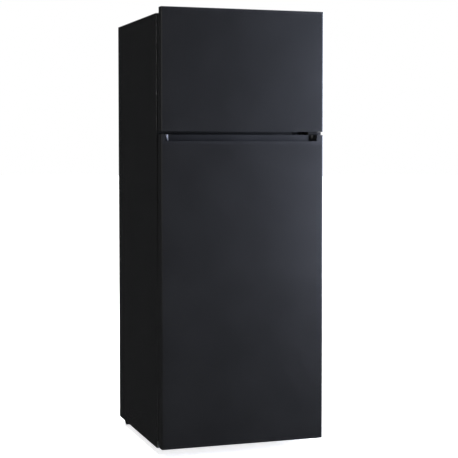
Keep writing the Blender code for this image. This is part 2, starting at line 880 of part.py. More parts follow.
def freezer_door(carrier):
    skin_top = HEIGHT - TOP_TRIM
    rear_top = FREEZER_REAR_TOP
    spigot = rear_top - CAP_SPIGOT
    skin = door_skin("freezer_door_skin", FREEZER_DOOR_BOTTOM, skin_top, carrier)
    end = SIDE - DOOR_CORNER
    end_bottom = HEIGHT - TOP_TRIM_END
    joggle = FACE + SKIN_RETURN - TOUCH
    far_corner = (SIDE + PAST, SKIN_BACK + PAST, HEIGHT)
    cut(
        skin,
        box((-SIDE - PAST, joggle, rear_top), far_corner),
        box((end - TOUCH, FACE - PAST, end_bottom - TOUCH), far_corner),
    )

    cap = prism(door_outline(FACE + SKIN_RETURN), "Z", skin_top + TOUCH, HEIGHT)
    soften(cap, 0.0015)
    join(
        cap,
        door_inside(spigot, rear_top),
        door_inside(rear_top - 0.002, skin_top + 0.004, FACE + SKIN_RETURN - 0.002),
    )
    corner_block = prism(door_outline(FACE + SKIN_RETURN), "Z", end_bottom, skin_top + 0.004)
    cut(corner_block, box((-SIDE - PAST, FACE - PAST, 0), (end, BACK, HEIGHT + PAST)))
    join(cap, corner_block)
    notch = box(
        (HINGE.x - HINGE_ARM - 0.0025, HINGE.y - SWING_NOTCH, rear_top),
        (SIDE + PAST, HINGE.y + 0.03, HEIGHT + PAST),
    )
    cut(cap, notch, pin_bore(spigot - PAST, HEIGHT))
    keep(cap, "freezer_door_top_cap", black_plastic, carrier)

    foot_top = FREEZER_DOOR_BOTTOM + CAP_SPIGOT
    foot = door_inside(FREEZER_DOOR_BOTTOM, foot_top)
    cut(foot, pin_bore(FREEZER_DOOR_BOTTOM - PAST, foot_top + PAST))
    keep(foot, "freezer_door_bottom_cap", black_plastic, carrier)

    plateau = (FREEZER_FLOOR + PLATEAU_FROM_WALL, FREEZER_TOP - PLATEAU_FROM_WALL)
    door_foam("freezer_door_foam", foot_top + TOUCH, spigot - TOUCH, plateau, carrier)
    liner_bottom = FREEZER_DOOR_BOTTOM + 0.0045
    dykes = (plateau[0] + 0.010, plateau[1] - 0.010)
    door_liner(
        "freezer_door_liner", liner_bottom, rear_top, plateau, dykes, FREEZER_BIN_DEPTH, carrier
    )
    gasket("freezer_door_gasket", FREEZER_DOOR_BOTTOM + GASKET_END, rear_top - 0.003, carrier)
    bin_bottom = dykes[0] + 0.030
    door_bin("freezer_door_bin", bin_bottom, FREEZER_BIN_HEIGHT, FREEZER_BIN_DEPTH, carrier)


def grip_cutters():
    """The pocket behind the lip, round at its ends, and the opening above the lip."""
    left = -SIDE + GRIP_LEFT_END
    right = SIDE - GRIP_RIGHT_END
    lip_back = FACE + GRIP_LIP
    wall = FACE + GRIP_DEPTH
    pocket = rounded(
        [
            (left, lip_back, 0),
            (right, lip_back, 0),
            (right, wall, GRIP_CORNER),
            (left, wall, GRIP_CORNER),
        ],
        steps=6,
    )
    trough_floor = FRIDGE_DOOR_TOP - GRIP_TROUGH
    past = 0.02
    trough = prism(pocket, "Z", trough_floor, FRIDGE_DOOR_TOP + past)
    opening = box(
        (left, FACE - past, FRIDGE_DOOR_TOP - GRIP_LIP_DROP),
        (right, lip_back + 0.0015, FRIDGE_DOOR_TOP + past),
    )
    return trough, opening


def fridge_door(carrier):
    skin_bottom = DOOR_BOTTOM + BOTTOM_TRIM + TOUCH
    skin_top = FRIDGE_DOOR_TOP - GRIP_BAND
    door_skin("fridge_door_skin", skin_bottom, skin_top, carrier)
    rear_top = FRIDGE_DOOR_TOP - 0.008
    cap_bottom = FRIDGE_DOOR_TOP - GRIP_TROUGH - GRIP_FLOOR
    cap = prism(door_outline(HINGE.y + 0.001), "Z", skin_top + TOUCH, FRIDGE_DOOR_TOP)
    soften(cap, 0.0012)
    join(
        cap,
        door_inside(cap_bottom, skin_top + 0.004),
        box(
            (-SKIN_INSIDE, HINGE.y - 0.004, skin_top),
            (SKIN_INSIDE, CAP_BACK, rear_top),
        ),
    )
    cut(cap, *grip_cutters(), pin_bore(FRIDGE_DOOR_TOP - 0.026, HEIGHT))
    keep(cap, "fridge_door_top_cap", black_plastic, carrier)

    foot_top = DOOR_BOTTOM + FOOT_CAP
    foot = prism(door_outline(FACE + SKIN_RETURN), "Z", DOOR_BOTTOM, skin_bottom - TOUCH)
    soften(foot, 0.0015)
    join(foot, door_inside(DOOR_BOTTOM + 0.001, foot_top))
    cut(foot, pin_bore(DOOR_BOTTOM - PAST, foot_top + PAST))
    keep(foot, "fridge_door_bottom_cap", black_plastic, carrier)

    plateau = (FRIDGE_FLOOR + PLATEAU_FROM_WALL, FRIDGE_TOP - PLATEAU_FROM_TOP)
    door_foam("fridge_door_foam", foot_top + TOUCH, cap_bottom - TOUCH, plateau, carrier)
    dykes = (plateau[0] + 0.012, plateau[1] - 0.057)
    liner_bottom = DOOR_BOTTOM + 0.012
    door_liner("fridge_door_liner", liner_bottom, rear_top, plateau, dykes, DYKE_REACH, carrier)
    bottom = DOOR_BOTTOM + GASKET_END + 0.010
    gasket("fridge_door_gasket", bottom, FRIDGE_DOOR_TOP - GASKET_END, carrier)
    middle = (dykes[0] + dykes[1]) / 2
    door_bin("bottle_bin", dykes[0] + 0.006, BOTTLE_BIN_HEIGHT, BIN_DEPTH, carrier)
    door_bin("middle_door_bin", middle, MIDDLE_BIN_HEIGHT, BIN_DEPTH, carrier)
    door_bin("upper_door_bin", dykes[1] - 0.095, UPPER_BIN_HEIGHT, BIN_DEPTH, carrier)


# Inside the compartments


def shelves():
    front = SHELF_LINE
    half = INNER_SIDE - 0.0015
    for name, height in zip(("lower_shelf", "upper_shelf"), SHELVES):
        glass = box((-half, front, height), (half, INNER_BACK - SHELF_FROM_BACK, height + GLASS))
        keep(glass, name, shelf_glass)
        strip = box(
            (-half, front - TRIM_OVERHANG, height - TRIM_LAP),
            (half, front + 0.010, height + GLASS + TRIM_LAP),
        )
        soften(strip, 0.001)
        groove = box(
            (-SIDE, front - TOUCH, height - TOUCH),
            (SIDE, front + 0.02, height + GLASS + TOUCH),
        )
        ledge_room = [
            box(
                (min(a, b), front - TOUCH, height - 0.02),
                (max(a, b), front + 0.02, height + TOUCH),
            )
            for a, b in (
                (INNER_SIDE - LEDGE - TOUCH, SIDE),
                (-INNER_SIDE + LEDGE + TOUCH, -SIDE),
            )
        ]
        keep(cut(strip, groove, *ledge_room), f"{name}_trim", white_plastic)
    cover = box(
        (-half, front, DRAWER_COVER), (half, STEP_FRONT - 0.004, DRAWER_COVER + GLASS)
    )
    keep(cover, "crisper_cover", shelf_glass)
    freezer = box(
        (-half, front, FREEZER_SHELF),
        (half, INNER_BACK - FREEZER_SHELF_FROM_BACK, FREEZER_SHELF + GLASS),
    )
    keep(freezer, "freezer_shelf", shelf_glass)


def crisper(carrier):
    half = INNER_SIDE - DRAWER_FROM_WALL
    drawer = tray(
        (-half, SHELF_LINE - SLIDE, FRIDGE_FLOOR + SLIDE),
        (half, STEP_FRONT - 0.006, DRAWER_COVER - DRAWER_BELOW_COVER),
        TRAY_WALL,
        DRAWER_CORNER,
    )
    keep(drawer, "crisper_drawer", clear_plastic, carrier)


def evaporator():
    """The cooling plate, held off the freezer's back wall by four posts."""
    face = INNER_BACK - PLATE_FROM_BACK
    half = INNER_SIDE - PLATE_MARGIN
    low, high = FREEZER_FLOOR + PLATE_MARGIN, FREEZER_TOP - PLATE_MARGIN
    plate = box((-half, face - PLATE_SHEET, low), (half, face, high))
    inset = PLATE_POST_INSET
    for x in (-half + inset, half - inset):
        for z in (low + inset, high - inset):
            post_start = face - 0.0008
            join(plate, rod((x, 0, z), "Y", post_start, INNER_BACK - TOUCH, PLATE_POST_RADIUS, 12))
    keep(plate, "evaporator_plate", aluminium)


def control_housing(knob_carrier, switch_carrier):
    """The thermostat and lamp housing under the fridge's ceiling."""
    low = Vector((-HOUSING_HALF, HOUSING_FRONT, HOUSING_BOTTOM))
    high = Vector((HOUSING_HALF, HOUSING_FRONT + HOUSING_DEPTH, FRIDGE_TOP - TOUCH))
    room_low = low + Vector((LAMP_ROOM_SIDE, LAMP_ROOM_FRONT, 0))
    room_high = high - Vector((LAMP_ROOM_SIDE, LAMP_ROOM_REAR, 0.003))
    lamp_room = box((room_low.x, room_low.y, low.z - PAST), room_high)
    housing = soften(box(low, high), 0.004)
    bore_end = low.y + SWITCH_REACH + 0.008
    switch_bore = rod(SWITCH, "Y", low.y - PAST, bore_end, SWITCH_RADIUS + RUNNING, 16)
    shaft_bore = rod(KNOB, "Y", low.y - PAST, low.y + 0.012, SHAFT_RADIUS + RUNNING, 16)
    keep(cut(housing, lamp_room, switch_bore, shaft_bore), "control_housing", white_plastic)

    lens_bottom = low.z + 0.0005
    lens = box(
        (room_low.x + TOUCH, room_low.y + TOUCH, lens_bottom),
        (room_high.x - TOUCH, room_high.y - TOUCH, lens_bottom + LENS_THICKNESS),
    )
    keep(lens, "lamp_lens", clear_plastic)
    knob = turned(
        [
            (0, KNOB_PROUD),
            (0.0115, KNOB_PROUD),
            (0.0130, 0.0110),
            (0.0145, 0.0020),
            (0.0140, TOUCH),
            (SHAFT_RADIUS, TOUCH),
            (SHAFT_RADIUS, -0.0100),
            (0, -0.0100),
        ],
        KNOB,
        "Y",
        24,
    )
    pointer = soften(
        box(
            (KNOB.x - 0.0018, KNOB.y - KNOB_PROUD - 0.002, KNOB.z - 0.0120),
            (KNOB.x + 0.0018, KNOB.y - 0.0110, KNOB.z + 0.0120),
        ),
        0.0006,
        1,
    )
    keep(join(knob, pointer), "thermostat_knob", white_plastic, knob_carrier)

    tip = PLATEAU_FACE + TOUCH
    plunger = rod(SWITCH, "Y", tip, low.y + SWITCH_REACH, SWITCH_RADIUS, 16)
    keep(soften(plunger, 0.0008, 1), "door_switch_plunger", white_plastic, switch_carrier)


# Compressor bay


def compressor_tray():
    """The cross plate that carries the compressor, with a downturned ear for each roller."""
    half = SHEET_INSIDE - TOUCH
    path = [
        (-half, TRAY_HEIGHT + TRAY_UPSTAND),
        (-half, TRAY_HEIGHT),
        (half, TRAY_HEIGHT),
        (half, TRAY_HEIGHT + TRAY_UPSTAND),
    ]
    plate = folded_sheet(path, "Y", -TRAY_BACK, -TRAY_FRONT, TRAY_SHEET)
    for side in (-1, 1):
        inner = side * EAR_INSIDE
        outer = side * EAR_OUTSIDE
        ear = box(
            (min(inner, outer), ROLLER_Y - EAR_HALF, ROLLER_RADIUS - 0.012),
            (max(inner, outer), ROLLER_Y + EAR_HALF, TRAY_HEIGHT + TRAY_SHEET / 2),
        )
        join(plate, ear)
        hole = rod(
            (side * ROLLER_INSIDE, ROLLER_Y, ROLLER_RADIUS),
            "X",
            min(inner, outer) - PAST,
            max(inner, outer) + PAST,
            AXLE_RADIUS + RUNNING,
        )
        cut(plate, hole)
    keep(plate, "compressor_tray", bare_steel)


def roller(side_name, side, carrier):
    """A rear roller and the headed axle that it turns on."""
    half = ROLLER_WIDTH / 2
    bore = AXLE_RADIUS + RUNNING
    centre = (side * (ROLLER_OUTSIDE - half), ROLLER_Y, ROLLER_RADIUS)
    edge = 0.0015
    wheel = turned(
        [
            (ROLLER_RADIUS - edge, half),
            (ROLLER_RADIUS, half - edge),
            (ROLLER_RADIUS, edge - half),
            (ROLLER_RADIUS - edge, -half),
            (bore, -half),
            (bore, half),
        ],
        centre,
        "X",
        40,
        ring=True,
    )
    keep(wheel, f"{side_name}_rear_roller", black_plastic, carrier)
    head = side * (ROLLER_OUTSIDE + TOUCH)
    inner_end = side * (EAR_INSIDE - 0.004)
    outer_end = head + side * AXLE_HEAD / 2
    axle = rod(centre, "X", min(outer_end, inner_end), max(outer_end, inner_end), AXLE_RADIUS)
    heads = (
        (head, head + side * AXLE_HEAD),
        (inner_end, side * (EAR_INSIDE - TOUCH)),
    )
    for start, end in heads:
        join(axle, rod(centre, "X", min(start, end), max(start, end), AXLE_RADIUS + 0.003))
    keep(axle, f"{side_name}_roller_axle", bare_steel)


def foot(side_name, place, carrier):
    """A screw-in levelling foot."""
    neck = CABINET_BOTTOM - 0.001
    stud_top = CABINET_BOTTOM + 0.020
    shape = turned(
        [
            (0, stud_top),
            (PIN_RADIUS, stud_top),
            (PIN_RADIUS, neck),
            (0.011, neck),
            (0.011, 0.012),
            (FOOT_RADIUS, 0.009),
            (FOOT_RADIUS, 0.001),
            (FOOT_RADIUS - 0.001, 0),
            (0, 0),
        ],
        (*place, 0),
    )
    keep(shape, f"{side_name}_front_foot", black_plastic, carrier)


def grommets(reach_x, reach_y):
    """The four rubber mounts under the compressor's foot plate."""
    top = GROMMET_HEIGHT - TOUCH
    count = 0
    for x in (COMPRESSOR_X - reach_x, COMPRESSOR_X + reach_x):
        for y in (COMPRESSOR_Y - reach_y, COMPRESSOR_Y + reach_y):
            count += 1
            grommet = turned(
                [
                    (0, top),
                    (0.007, top),
                    (0.008, 0.008),
                    (0.006, 0.006),
                    (0.009, 0.003),
                    (0.009, TOUCH),
                    (0, TOUCH),
                ],
                (x, y, TRAY_HEIGHT + TRAY_SHEET),
                steps=16,
            )
            keep(grommet, f"compressor_grommet_{count}", dark_rubber)


def compressor():
    """The sealed compressor: an oval can on a foot plate, with its relay box beside it."""
    base = COMPRESSOR_BASE
    r = COMPRESSOR_RADIUS
    top = base + COMPRESSOR_HEIGHT
    seam = base + COMPRESSOR_SEAM
    seam_lip = 0.003
    profile = [(0, top)]
    for step in range(1, 7):
        angle = math.radians(15 * step)
        profile.append((r * math.sin(angle), top - COMPRESSOR_DOME * (1 - math.cos(angle))))
    profile += [
        (r, seam + 0.004),
        (r + seam_lip, seam + 0.003),
        (r + seam_lip, seam - 0.001),
        (r, seam - 0.002),
        (r * 0.98, base + 0.030),
        (r * 0.85, base + 0.008),
        (r * 0.60, base),
        (0, base),
    ]
    can = turned(profile, (COMPRESSOR_X, COMPRESSOR_Y, 0), steps=32)
    can.scale.x = COMPRESSOR_OVAL
    foot_x, foot_y = FOOT_PLATE
    plate = box(
        (COMPRESSOR_X - foot_x, COMPRESSOR_Y - foot_y, base + TOUCH),
        (COMPRESSOR_X + foot_x, COMPRESSOR_Y + foot_y, base + 0.003),
    )
    keep(join(can, plate), "compressor", black_steel)
    grommets(foot_x - GROMMET_INSET, foot_y - GROMMET_INSET)
    side = COMPRESSOR_X + (r + seam_lip) * COMPRESSOR_OVAL + 0.001
    relay = box(
        (side, COMPRESSOR_Y - RELAY_HALF_DEPTH, base + RELAY_BOTTOM),
        (side + RELAY_WIDTH, COMPRESSOR_Y + RELAY_HALF_DEPTH, base + RELAY_TOP),
    )
    keep(soften(relay, 0.003), "relay_box", black_plastic)


def drain():
    """The pan on the compressor that melt water runs into, and its hose."""
    pan_bottom = COMPRESSOR_BASE + COMPRESSOR_HEIGHT + TOUCH
    pan = tray(
        (COMPRESSOR_X - PAN_LEFT, BAY_FRONT + 0.012, pan_bottom),
        (COMPRESSOR_X + PAN_RIGHT, BACK - 0.022, pan_bottom + PAN_HEIGHT),
        TRAY_WALL,
        DRAWER_CORNER,
    )
    keep(pan, "drain_pan", black_plastic)
    hose_top = STEP_FLOOR - LINER - TOUCH
    hose = rod(DRAIN, "Z", pan_bottom + PAN_HEIGHT / 2, hose_top, DRAIN_RADIUS, 16)
    cut(hose, rod(DRAIN, "Z", pan_bottom, hose_top + PAST, DRAIN_BORE, 16))
    keep(hose, "drain_hose", white_plastic)


def condenser():
    """The tube that zigzags up between the foam and the back panel and comes down again."""
    left, right = -SIDE + CONDENSER_LEFT, SIDE - CONDENSER_RIGHT
    bend = CONDENSER_PITCH / 2
    low = BAY_TOP + 0.060
    passes = 2 * int((CABINET_TOP - 0.06 - low) / CONDENSER_PITCH / 2) + 1
    points = [Vector((left - bend, CONDENSER_Y, CONDENSER_JOINT))]
    points.append(Vector((left - bend, CONDENSER_Y, low)))
    for row in range(passes):
        height = low + row * CONDENSER_PITCH
        turn_at, back_at = (right, 1) if row % 2 == 0 else (left, -1)
        if row == passes - 1:
            break
        for step in range(5):
            angle = math.radians(-90 + 45 * step)
            reach = bend * math.cos(angle) * back_at * 0.8
            rise = bend + bend * math.sin(angle)
            points.append(Vector((turn_at + reach, CONDENSER_Y, height + rise)))
    return_x = SIDE - CONDENSER_RETURN
    top = low + (passes - 1) * CONDENSER_PITCH
    points.append(Vector((return_x - 0.010, CONDENSER_Y, top)))
    points.append(Vector((return_x, CONDENSER_Y, top - 0.010)))
    points.append(Vector((return_x, CONDENSER_Y, CONDENSER_JOINT)))
    keep(tube(points, CONDENSER_TUBE), "condenser_coil", copper)

    end = CONDENSER_JOINT - TOUCH
    drier = turned(
        [
            (0, 0),
            (0.003, 0),
            (0.003, -0.008),
            (0.0053, -0.014),
            (0.0053, -0.086),
            (0.0022, -0.094),
            (0.0022, -0.104),
            (0, -0.104),
        ],
        (return_x, CONDENSER_Y - 0.0004, end),
        steps=16,
    )
    keep(drier, "filter_drier", copper)


def refrigerant_tubes():
    """The copper tubes between the compressor, the condenser and the evaporator."""
    start_x = COMPRESSOR_X - (COMPRESSOR_RADIUS + 0.001) * COMPRESSOR_OVAL
    height = COMPRESSOR_BASE + 0.062
    joint = CONDENSER_JOINT - TOUCH
    joint_x = -SIDE + CONDENSER_LEFT - CONDENSER_PITCH / 2
    discharge = smooth_route(
        [
            (start_x - 0.002, COMPRESSOR_Y, height),
            (start_x - 0.028, COMPRESSOR_Y + 0.002, height),
            (joint_x + 0.018, COMPRESSOR_Y + 0.030, height + 0.004),
            (joint_x, CONDENSER_Y - 0.014, height + 0.020),
            (joint_x, CONDENSER_Y, height + 0.048),
            (joint_x, CONDENSER_Y, joint),
        ]
    )
    keep(tube(discharge, CONDENSER_TUBE), "discharge_tube", copper)
    right_x = COMPRESSOR_X + 0.095
    front_y = BAY_FRONT + 0.020
    suction = smooth_route(
        [
            (COMPRESSOR_X + 0.030, COMPRESSOR_Y - COMPRESSOR_RADIUS + 0.001, height + 0.012),
            (COMPRESSOR_X + 0.050, front_y - 0.006, height + 0.012),
            (right_x, front_y - 0.004, height + 0.020),
            (right_x + 0.012, front_y, height + 0.060),
            (right_x + 0.012, front_y, BAY_TOP - TOUCH),
        ]
    )
    keep(tube(suction, SUCTION_TUBE), "suction_tube", copper)


def refrigerator():
    side_panels()
    top_and_back_panels()
    base_plate()
    insulation_foam()
    freezer_liner()
    fridge_liner()
    crossbeam()
    top_hinge()
    hinge_cover()
    middle_hinge()
    bottom_hinge()
    shelves()
    evaporator()
    compressor_tray()
    compressor()
    drain()
    condenser()
    refrigerant_tubes()
    freezer_door(pivot("freezer_door", HINGE + Vector((0, 0, FREEZER_DOOR_BOTTOM))))
    fridge_door(pivot("fridge_door", HINGE + Vector((0, 0, DOOR_BOTTOM))))
    crisper(pivot("crisper", (0, CABINET_FACE + SHELF_FRONT, FRIDGE_FLOOR)))
    control_housing(pivot("knob", KNOB), pivot("door_switch", SWITCH))
    for side_name, side, place in zip(("left", "right"), (-1, 1), foot_places()):
        foot(side_name, place, pivot(f"{side_name}_foot", (*place, 0)))
        hub = (side * ROLLER_INSIDE, ROLLER_Y, ROLLER_RADIUS)
        roller(side_name, side, pivot(f"{side_name}_roller", hub))


refrigerator()
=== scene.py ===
import json
import math

import bmesh
import bpy
from mathutils import Matrix, Vector

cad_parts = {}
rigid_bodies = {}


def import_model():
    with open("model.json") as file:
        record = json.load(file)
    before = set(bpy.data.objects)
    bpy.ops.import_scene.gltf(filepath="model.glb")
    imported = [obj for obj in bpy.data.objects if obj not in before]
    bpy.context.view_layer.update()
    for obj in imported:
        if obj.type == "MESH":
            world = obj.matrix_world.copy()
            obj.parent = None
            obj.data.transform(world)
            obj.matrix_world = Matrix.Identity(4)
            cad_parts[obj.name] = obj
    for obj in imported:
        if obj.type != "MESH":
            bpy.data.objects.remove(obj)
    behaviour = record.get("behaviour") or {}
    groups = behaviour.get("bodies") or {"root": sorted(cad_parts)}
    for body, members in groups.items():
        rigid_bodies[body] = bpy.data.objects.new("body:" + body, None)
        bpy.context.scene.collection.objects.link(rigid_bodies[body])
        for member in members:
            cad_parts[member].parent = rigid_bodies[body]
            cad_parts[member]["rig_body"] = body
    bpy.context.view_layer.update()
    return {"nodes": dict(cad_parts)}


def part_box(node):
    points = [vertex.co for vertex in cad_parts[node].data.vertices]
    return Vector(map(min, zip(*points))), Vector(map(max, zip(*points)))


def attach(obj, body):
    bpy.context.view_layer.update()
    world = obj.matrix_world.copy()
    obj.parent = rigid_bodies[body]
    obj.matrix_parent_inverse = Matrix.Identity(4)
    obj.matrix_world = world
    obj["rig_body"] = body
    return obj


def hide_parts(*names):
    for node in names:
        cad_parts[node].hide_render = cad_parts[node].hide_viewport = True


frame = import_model()
nodes = frame["nodes"]
scene = bpy.context.scene

# Camera. It stands a metre above the floor, off the cabinet's left front corner, and looks
# slightly down, so the front and the whole left side are seen.
lens = bpy.data.cameras.new("studio_camera")
lens.sensor_width = 36.0
lens.lens = 98.81
lens.shift_y = -0.05
camera = bpy.data.objects.new("studio_camera", lens)
camera.location = (-1.3240, -4.0938, 0.9891)
camera.rotation_euler = (math.radians(90 - 2.67), 0.0, -0.32258)
scene.collection.objects.link(camera)
scene.camera = camera

# Studio. A wide pale floor that glows a little under a white sky, an even light overhead and
# soft boxes: on the right a tall cool key, a low strip under it and a rim light, on the left a
# weak fill, and one behind.
scene.view_settings.view_transform = "Standard"
studio = bpy.data.worlds.new("studio")
studio.use_nodes = True
scene.world = studio
sky = studio.node_tree
sky.nodes.clear()
seen_sky = sky.nodes.new("ShaderNodeBackground")
seen_sky.inputs["Color"].default_value = (1.0, 1.0, 1.0, 1.0)
seen_sky.inputs["Strength"].default_value = 1.0
room_light = sky.nodes.new("ShaderNodeBackground")
room_light.inputs["Color"].default_value = (0.92, 0.95, 1.0, 1.0)
room_light.inputs["Strength"].default_value = 0.026
ray = sky.nodes.new("ShaderNodeLightPath")
pick = sky.nodes.new("ShaderNodeMixShader")
sky_end = sky.nodes.new("ShaderNodeOutputWorld")
sky.links.new(ray.outputs["Is Camera Ray"], pick.inputs[0])
sky.links.new(room_light.outputs[0], pick.inputs[1])
sky.links.new(seen_sky.outputs[0], pick.inputs[2])
sky.links.new(pick.outputs[0], sky_end.inputs["Surface"])


def softbox(name, place, aim, width, height, watts, tint=(1.0, 1.0, 1.0)):
    """A rectangular lamp that is turned towards a point and isn't seen itself."""
    lamp = bpy.data.lights.new(name, "AREA")
    lamp.shape = "RECTANGLE"
    lamp.size = width
    lamp.size_y = height
    lamp.energy = watts
    lamp.color = tint
    stand = bpy.data.objects.new(name, lamp)
    stand.location = place
    stand.rotation_euler = (Vector(aim) - Vector(place)).to_track_quat("-Z", "Y").to_euler()
    stand.visible_camera = False
    scene.collection.objects.link(stand)


softbox("key_softbox", (3.45, -3.40, 1.42), (0.0, -0.2, 1.3), 2.4, 2.75, 300, (0.70, 0.77, 1.0))
softbox("rim_softbox", (4.0, 0.4, 1.3), (0.0, 0.0, 0.9), 1.6, 2.4, 480, (0.80, 0.88, 1.0))
softbox("low_key_softbox", (3.45, -3.40, 0.32), (0.0, -0.2, 0.3), 2.4, 0.5, 85, (0.76, 0.80, 1.0))
softbox("fill_softbox", (-3.4, -3.0, 1.4), (-0.2, 0.0, 0.8), 1.8, 2.4, 24)
sun = bpy.data.lights.new("ceiling_light", "SUN")
sun.energy = 5.0
sun.angle = math.radians(50)
scene.collection.objects.link(bpy.data.objects.new("ceiling_light", sun))
softbox("back_softbox", (2.2, 3.4, 1.8), (0.0, 0.2, 0.7), 2.0, 2.4, 60)


def surface(name, roughness, metallic=0.0, coat=0.0):
    """A node material: its tree, its shader and its texture coordinates on the piece itself."""
    material = bpy.data.materials.new(name)
    material.use_nodes = True
    tree = material.node_tree
    shader = tree.nodes["Principled BSDF"]
    shader.inputs["Roughness"].default_value = roughness
    shader.inputs["Metallic"].default_value = metallic
    shader.inputs["Coat Weight"].default_value = coat
    place = tree.nodes.new("ShaderNodeTexCoord").outputs["Object"]
    return material, tree, shader, place


def noise(tree, place, scale, detail=3.0, stretch=None):
    """A noise pattern at so many waves per metre, drawn out along an axis if stretched."""
    if stretch:
        turn = tree.nodes.new("ShaderNodeMapping")
        turn.inputs["Scale"].default_value = stretch
        tree.links.new(place, turn.inputs["Vector"])
        place = turn.outputs["Vector"]
    pattern = tree.nodes.new("ShaderNodeTexNoise")
    pattern.inputs["Scale"].default_value = scale
    pattern.inputs["Detail"].default_value = detail
    tree.links.new(place, pattern.inputs["Vector"])
    return pattern.outputs["Fac"]


def between(tree, value, low, high, target, start=0.3, end=0.7):
    """Runs a socket from low to high as a pattern goes from start to end."""
    if isinstance(low, tuple):
        ramp = tree.nodes.new("ShaderNodeValToRGB")
        ramp.color_ramp.elements[0].position = start
        ramp.color_ramp.elements[1].position = end
        ramp.color_ramp.elements[0].color = (*low, 1.0)
        ramp.color_ramp.elements[1].color = (*high, 1.0)
        tree.links.new(value, ramp.inputs["Fac"])
        tree.links.new(ramp.outputs["Color"], target)
        return
    spread = tree.nodes.new("ShaderNodeMapRange")
    spread.inputs["From Min"].default_value = start
    spread.inputs["From Max"].default_value = end
    spread.inputs["To Min"].default_value = low
    spread.inputs["To Max"].default_value = high
    tree.links.new(value, spread.inputs["Value"])
    tree.links.new(spread.outputs["Result"], target)


def relief(tree, shader, heights, strength, depth):
    """A fine surface relief from a height pattern."""
    bump = tree.nodes.new("ShaderNodeBump")
    bump.inputs["Strength"].default_value = strength
    bump.inputs["Distance"].default_value = depth
    tree.links.new(heights, bump.inputs["Height"])
    tree.links.new(bump.outputs["Normal"], shader.inputs["Normal"])


def pale_floor():
    """The floor's finish; its glow keeps it white close to the cabinet."""
    material, tree, shader, place = surface("pale_floor", 0.85)
    drift = noise(tree, place, 0.6)
    between(tree, drift, (0.83, 0.83, 0.835), (0.88, 0.88, 0.88), shader.inputs["Base Color"])
    shader.inputs["Emission Color"].default_value = (1.0, 1.0, 1.0, 1.0)
    shader.inputs["Emission Strength"].default_value = 0.78
    return material


ground = bmesh.new()
bmesh.ops.create_circle(ground, cap_ends=True, segments=96, radius=40.0)
ground_mesh = bpy.data.meshes.new("studio_floor")
ground.to_mesh(ground_mesh)
ground.free()
ground_mesh.materials.append(pale_floor())
floor = bpy.data.objects.new("studio_floor", ground_mesh)
floor.visible_glossy = False
scene.collection.objects.link(floor)


# Outer cabinet. Two sides and a top of thin steel, coil-coated satin black before folding;
# the sides turn in round the back corner and the top laps over them.
def satin_black_paint():
    material, tree, shader, place = surface("satin_black_paint", 0.235)
    wipe = noise(tree, place, 7.0, 4.0)
    black, worn_black = (0.0050, 0.0050, 0.0050), (0.0060, 0.0060, 0.0060)
    between(tree, wipe, black, worn_black, shader.inputs["Base Color"])
    between(tree, wipe, 0.225, 0.245, shader.inputs["Roughness"])
    relief(tree, shader, noise(tree, place, 420.0, 2.0), 0.06, 0.0004)
    return material


def made(name, shape, body, material, stands_for=(), sharp=35, radius=0.0, segments=3):
    """Turns a shape into a piece that rides a body, its edges broken to a radius."""
    bmesh.ops.remove_doubles(shape, verts=shape.verts, dist=0.000002)
    bmesh.ops.recalc_face_normals(shape, faces=shape.faces)
    mesh = bpy.data.meshes.new(name)
    shape.to_mesh(mesh)
    shape.free()
    for one in material if isinstance(material, (list, tuple)) else [material]:
        mesh.materials.append(one)
    mesh.shade_smooth()
    mesh.set_sharp_from_angle(angle=math.radians(sharp))
    piece = bpy.data.objects.new(name, mesh)
    scene.collection.objects.link(piece)
    if radius:
        rounding = piece.modifiers.new("rounding", "BEVEL")
        rounding.width = radius
        rounding.segments = segments
        rounding.limit_method = "ANGLE"
        rounding.angle_limit = math.radians(sharp)
    flats = piece.modifiers.new("flats", "WEIGHTED_NORMAL")
    flats.keep_sharp = True
    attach(piece, body)
    if stands_for:
        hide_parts(*stands_for)
    return piece


def eased(node, name, material, radius=0.0, segments=3, sharp=35):
    """A node's own shape with its edges broken, standing for that node."""
    nearly_flat = math.radians(0.5)
    shape = bmesh.new()
    shape.from_mesh(nodes[node].data)
    bmesh.ops.remove_doubles(shape, verts=shape.verts, dist=0.00001)
    bmesh.ops.dissolve_limit(shape, angle_limit=nearly_flat, verts=shape.verts, edges=shape.edges)
    body = nodes[node]["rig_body"]
    return made(name, shape, body, material, (node,), sharp, radius, segments)


cabinet_paint = satin_black_paint()
for side in ("left_side", "right_side", "top"):
    eased(f"{side}_panel", f"{side}_sheet", cabinet_paint, 0.0004, 2)


# Back and base. Zinc-coated steel left bare: the back sheet has pressed stiffening beads and is
# screwed on round its edge, and the base is stepped up over the compressor bay.
def zinc_coated_steel():
    material, tree, shader, place = surface("zinc_coated_steel", 0.42, metallic=1.0)
    spangle = tree.nodes.new("ShaderNodeTexVoronoi")
    spangle.inputs["Scale"].default_value = 150.0
    tree.links.new(place, spangle.inputs["Vector"])
    grey = tree.nodes.new("ShaderNodeSeparateColor")
    tree.links.new(spangle.outputs["Color"], grey.inputs["Color"])
    flake = grey.outputs["Red"]
    dull, bright = (0.42, 0.43, 0.44), (0.56, 0.57, 0.58)
    between(tree, flake, dull, bright, shader.inputs["Base Color"], 0.0, 1.0)
    between(tree, flake, 0.36, 0.50, shader.inputs["Roughness"], 0.0, 1.0)
    relief(tree, shader, noise(tree, place, 160.0, 3.0), 0.08, 0.0005)
    return material


def standing(axis, u, v, along):
    """A point from an outline's two directions and its place along the axis they are drawn on."""
    return {"X": (along, u, v), "Y": (u, along, v), "Z": (u, v, along)}[axis]


def skinned(shape, loops):
    """Adds the skin of four-sided faces that joins each loop of points to the next."""
    for a, b in zip(loops, loops[1:]):
        for i in range(len(a)):
            j = (i + 1) % len(a)
            shape.faces.new((a[i], a[j], b[j], b[i]))


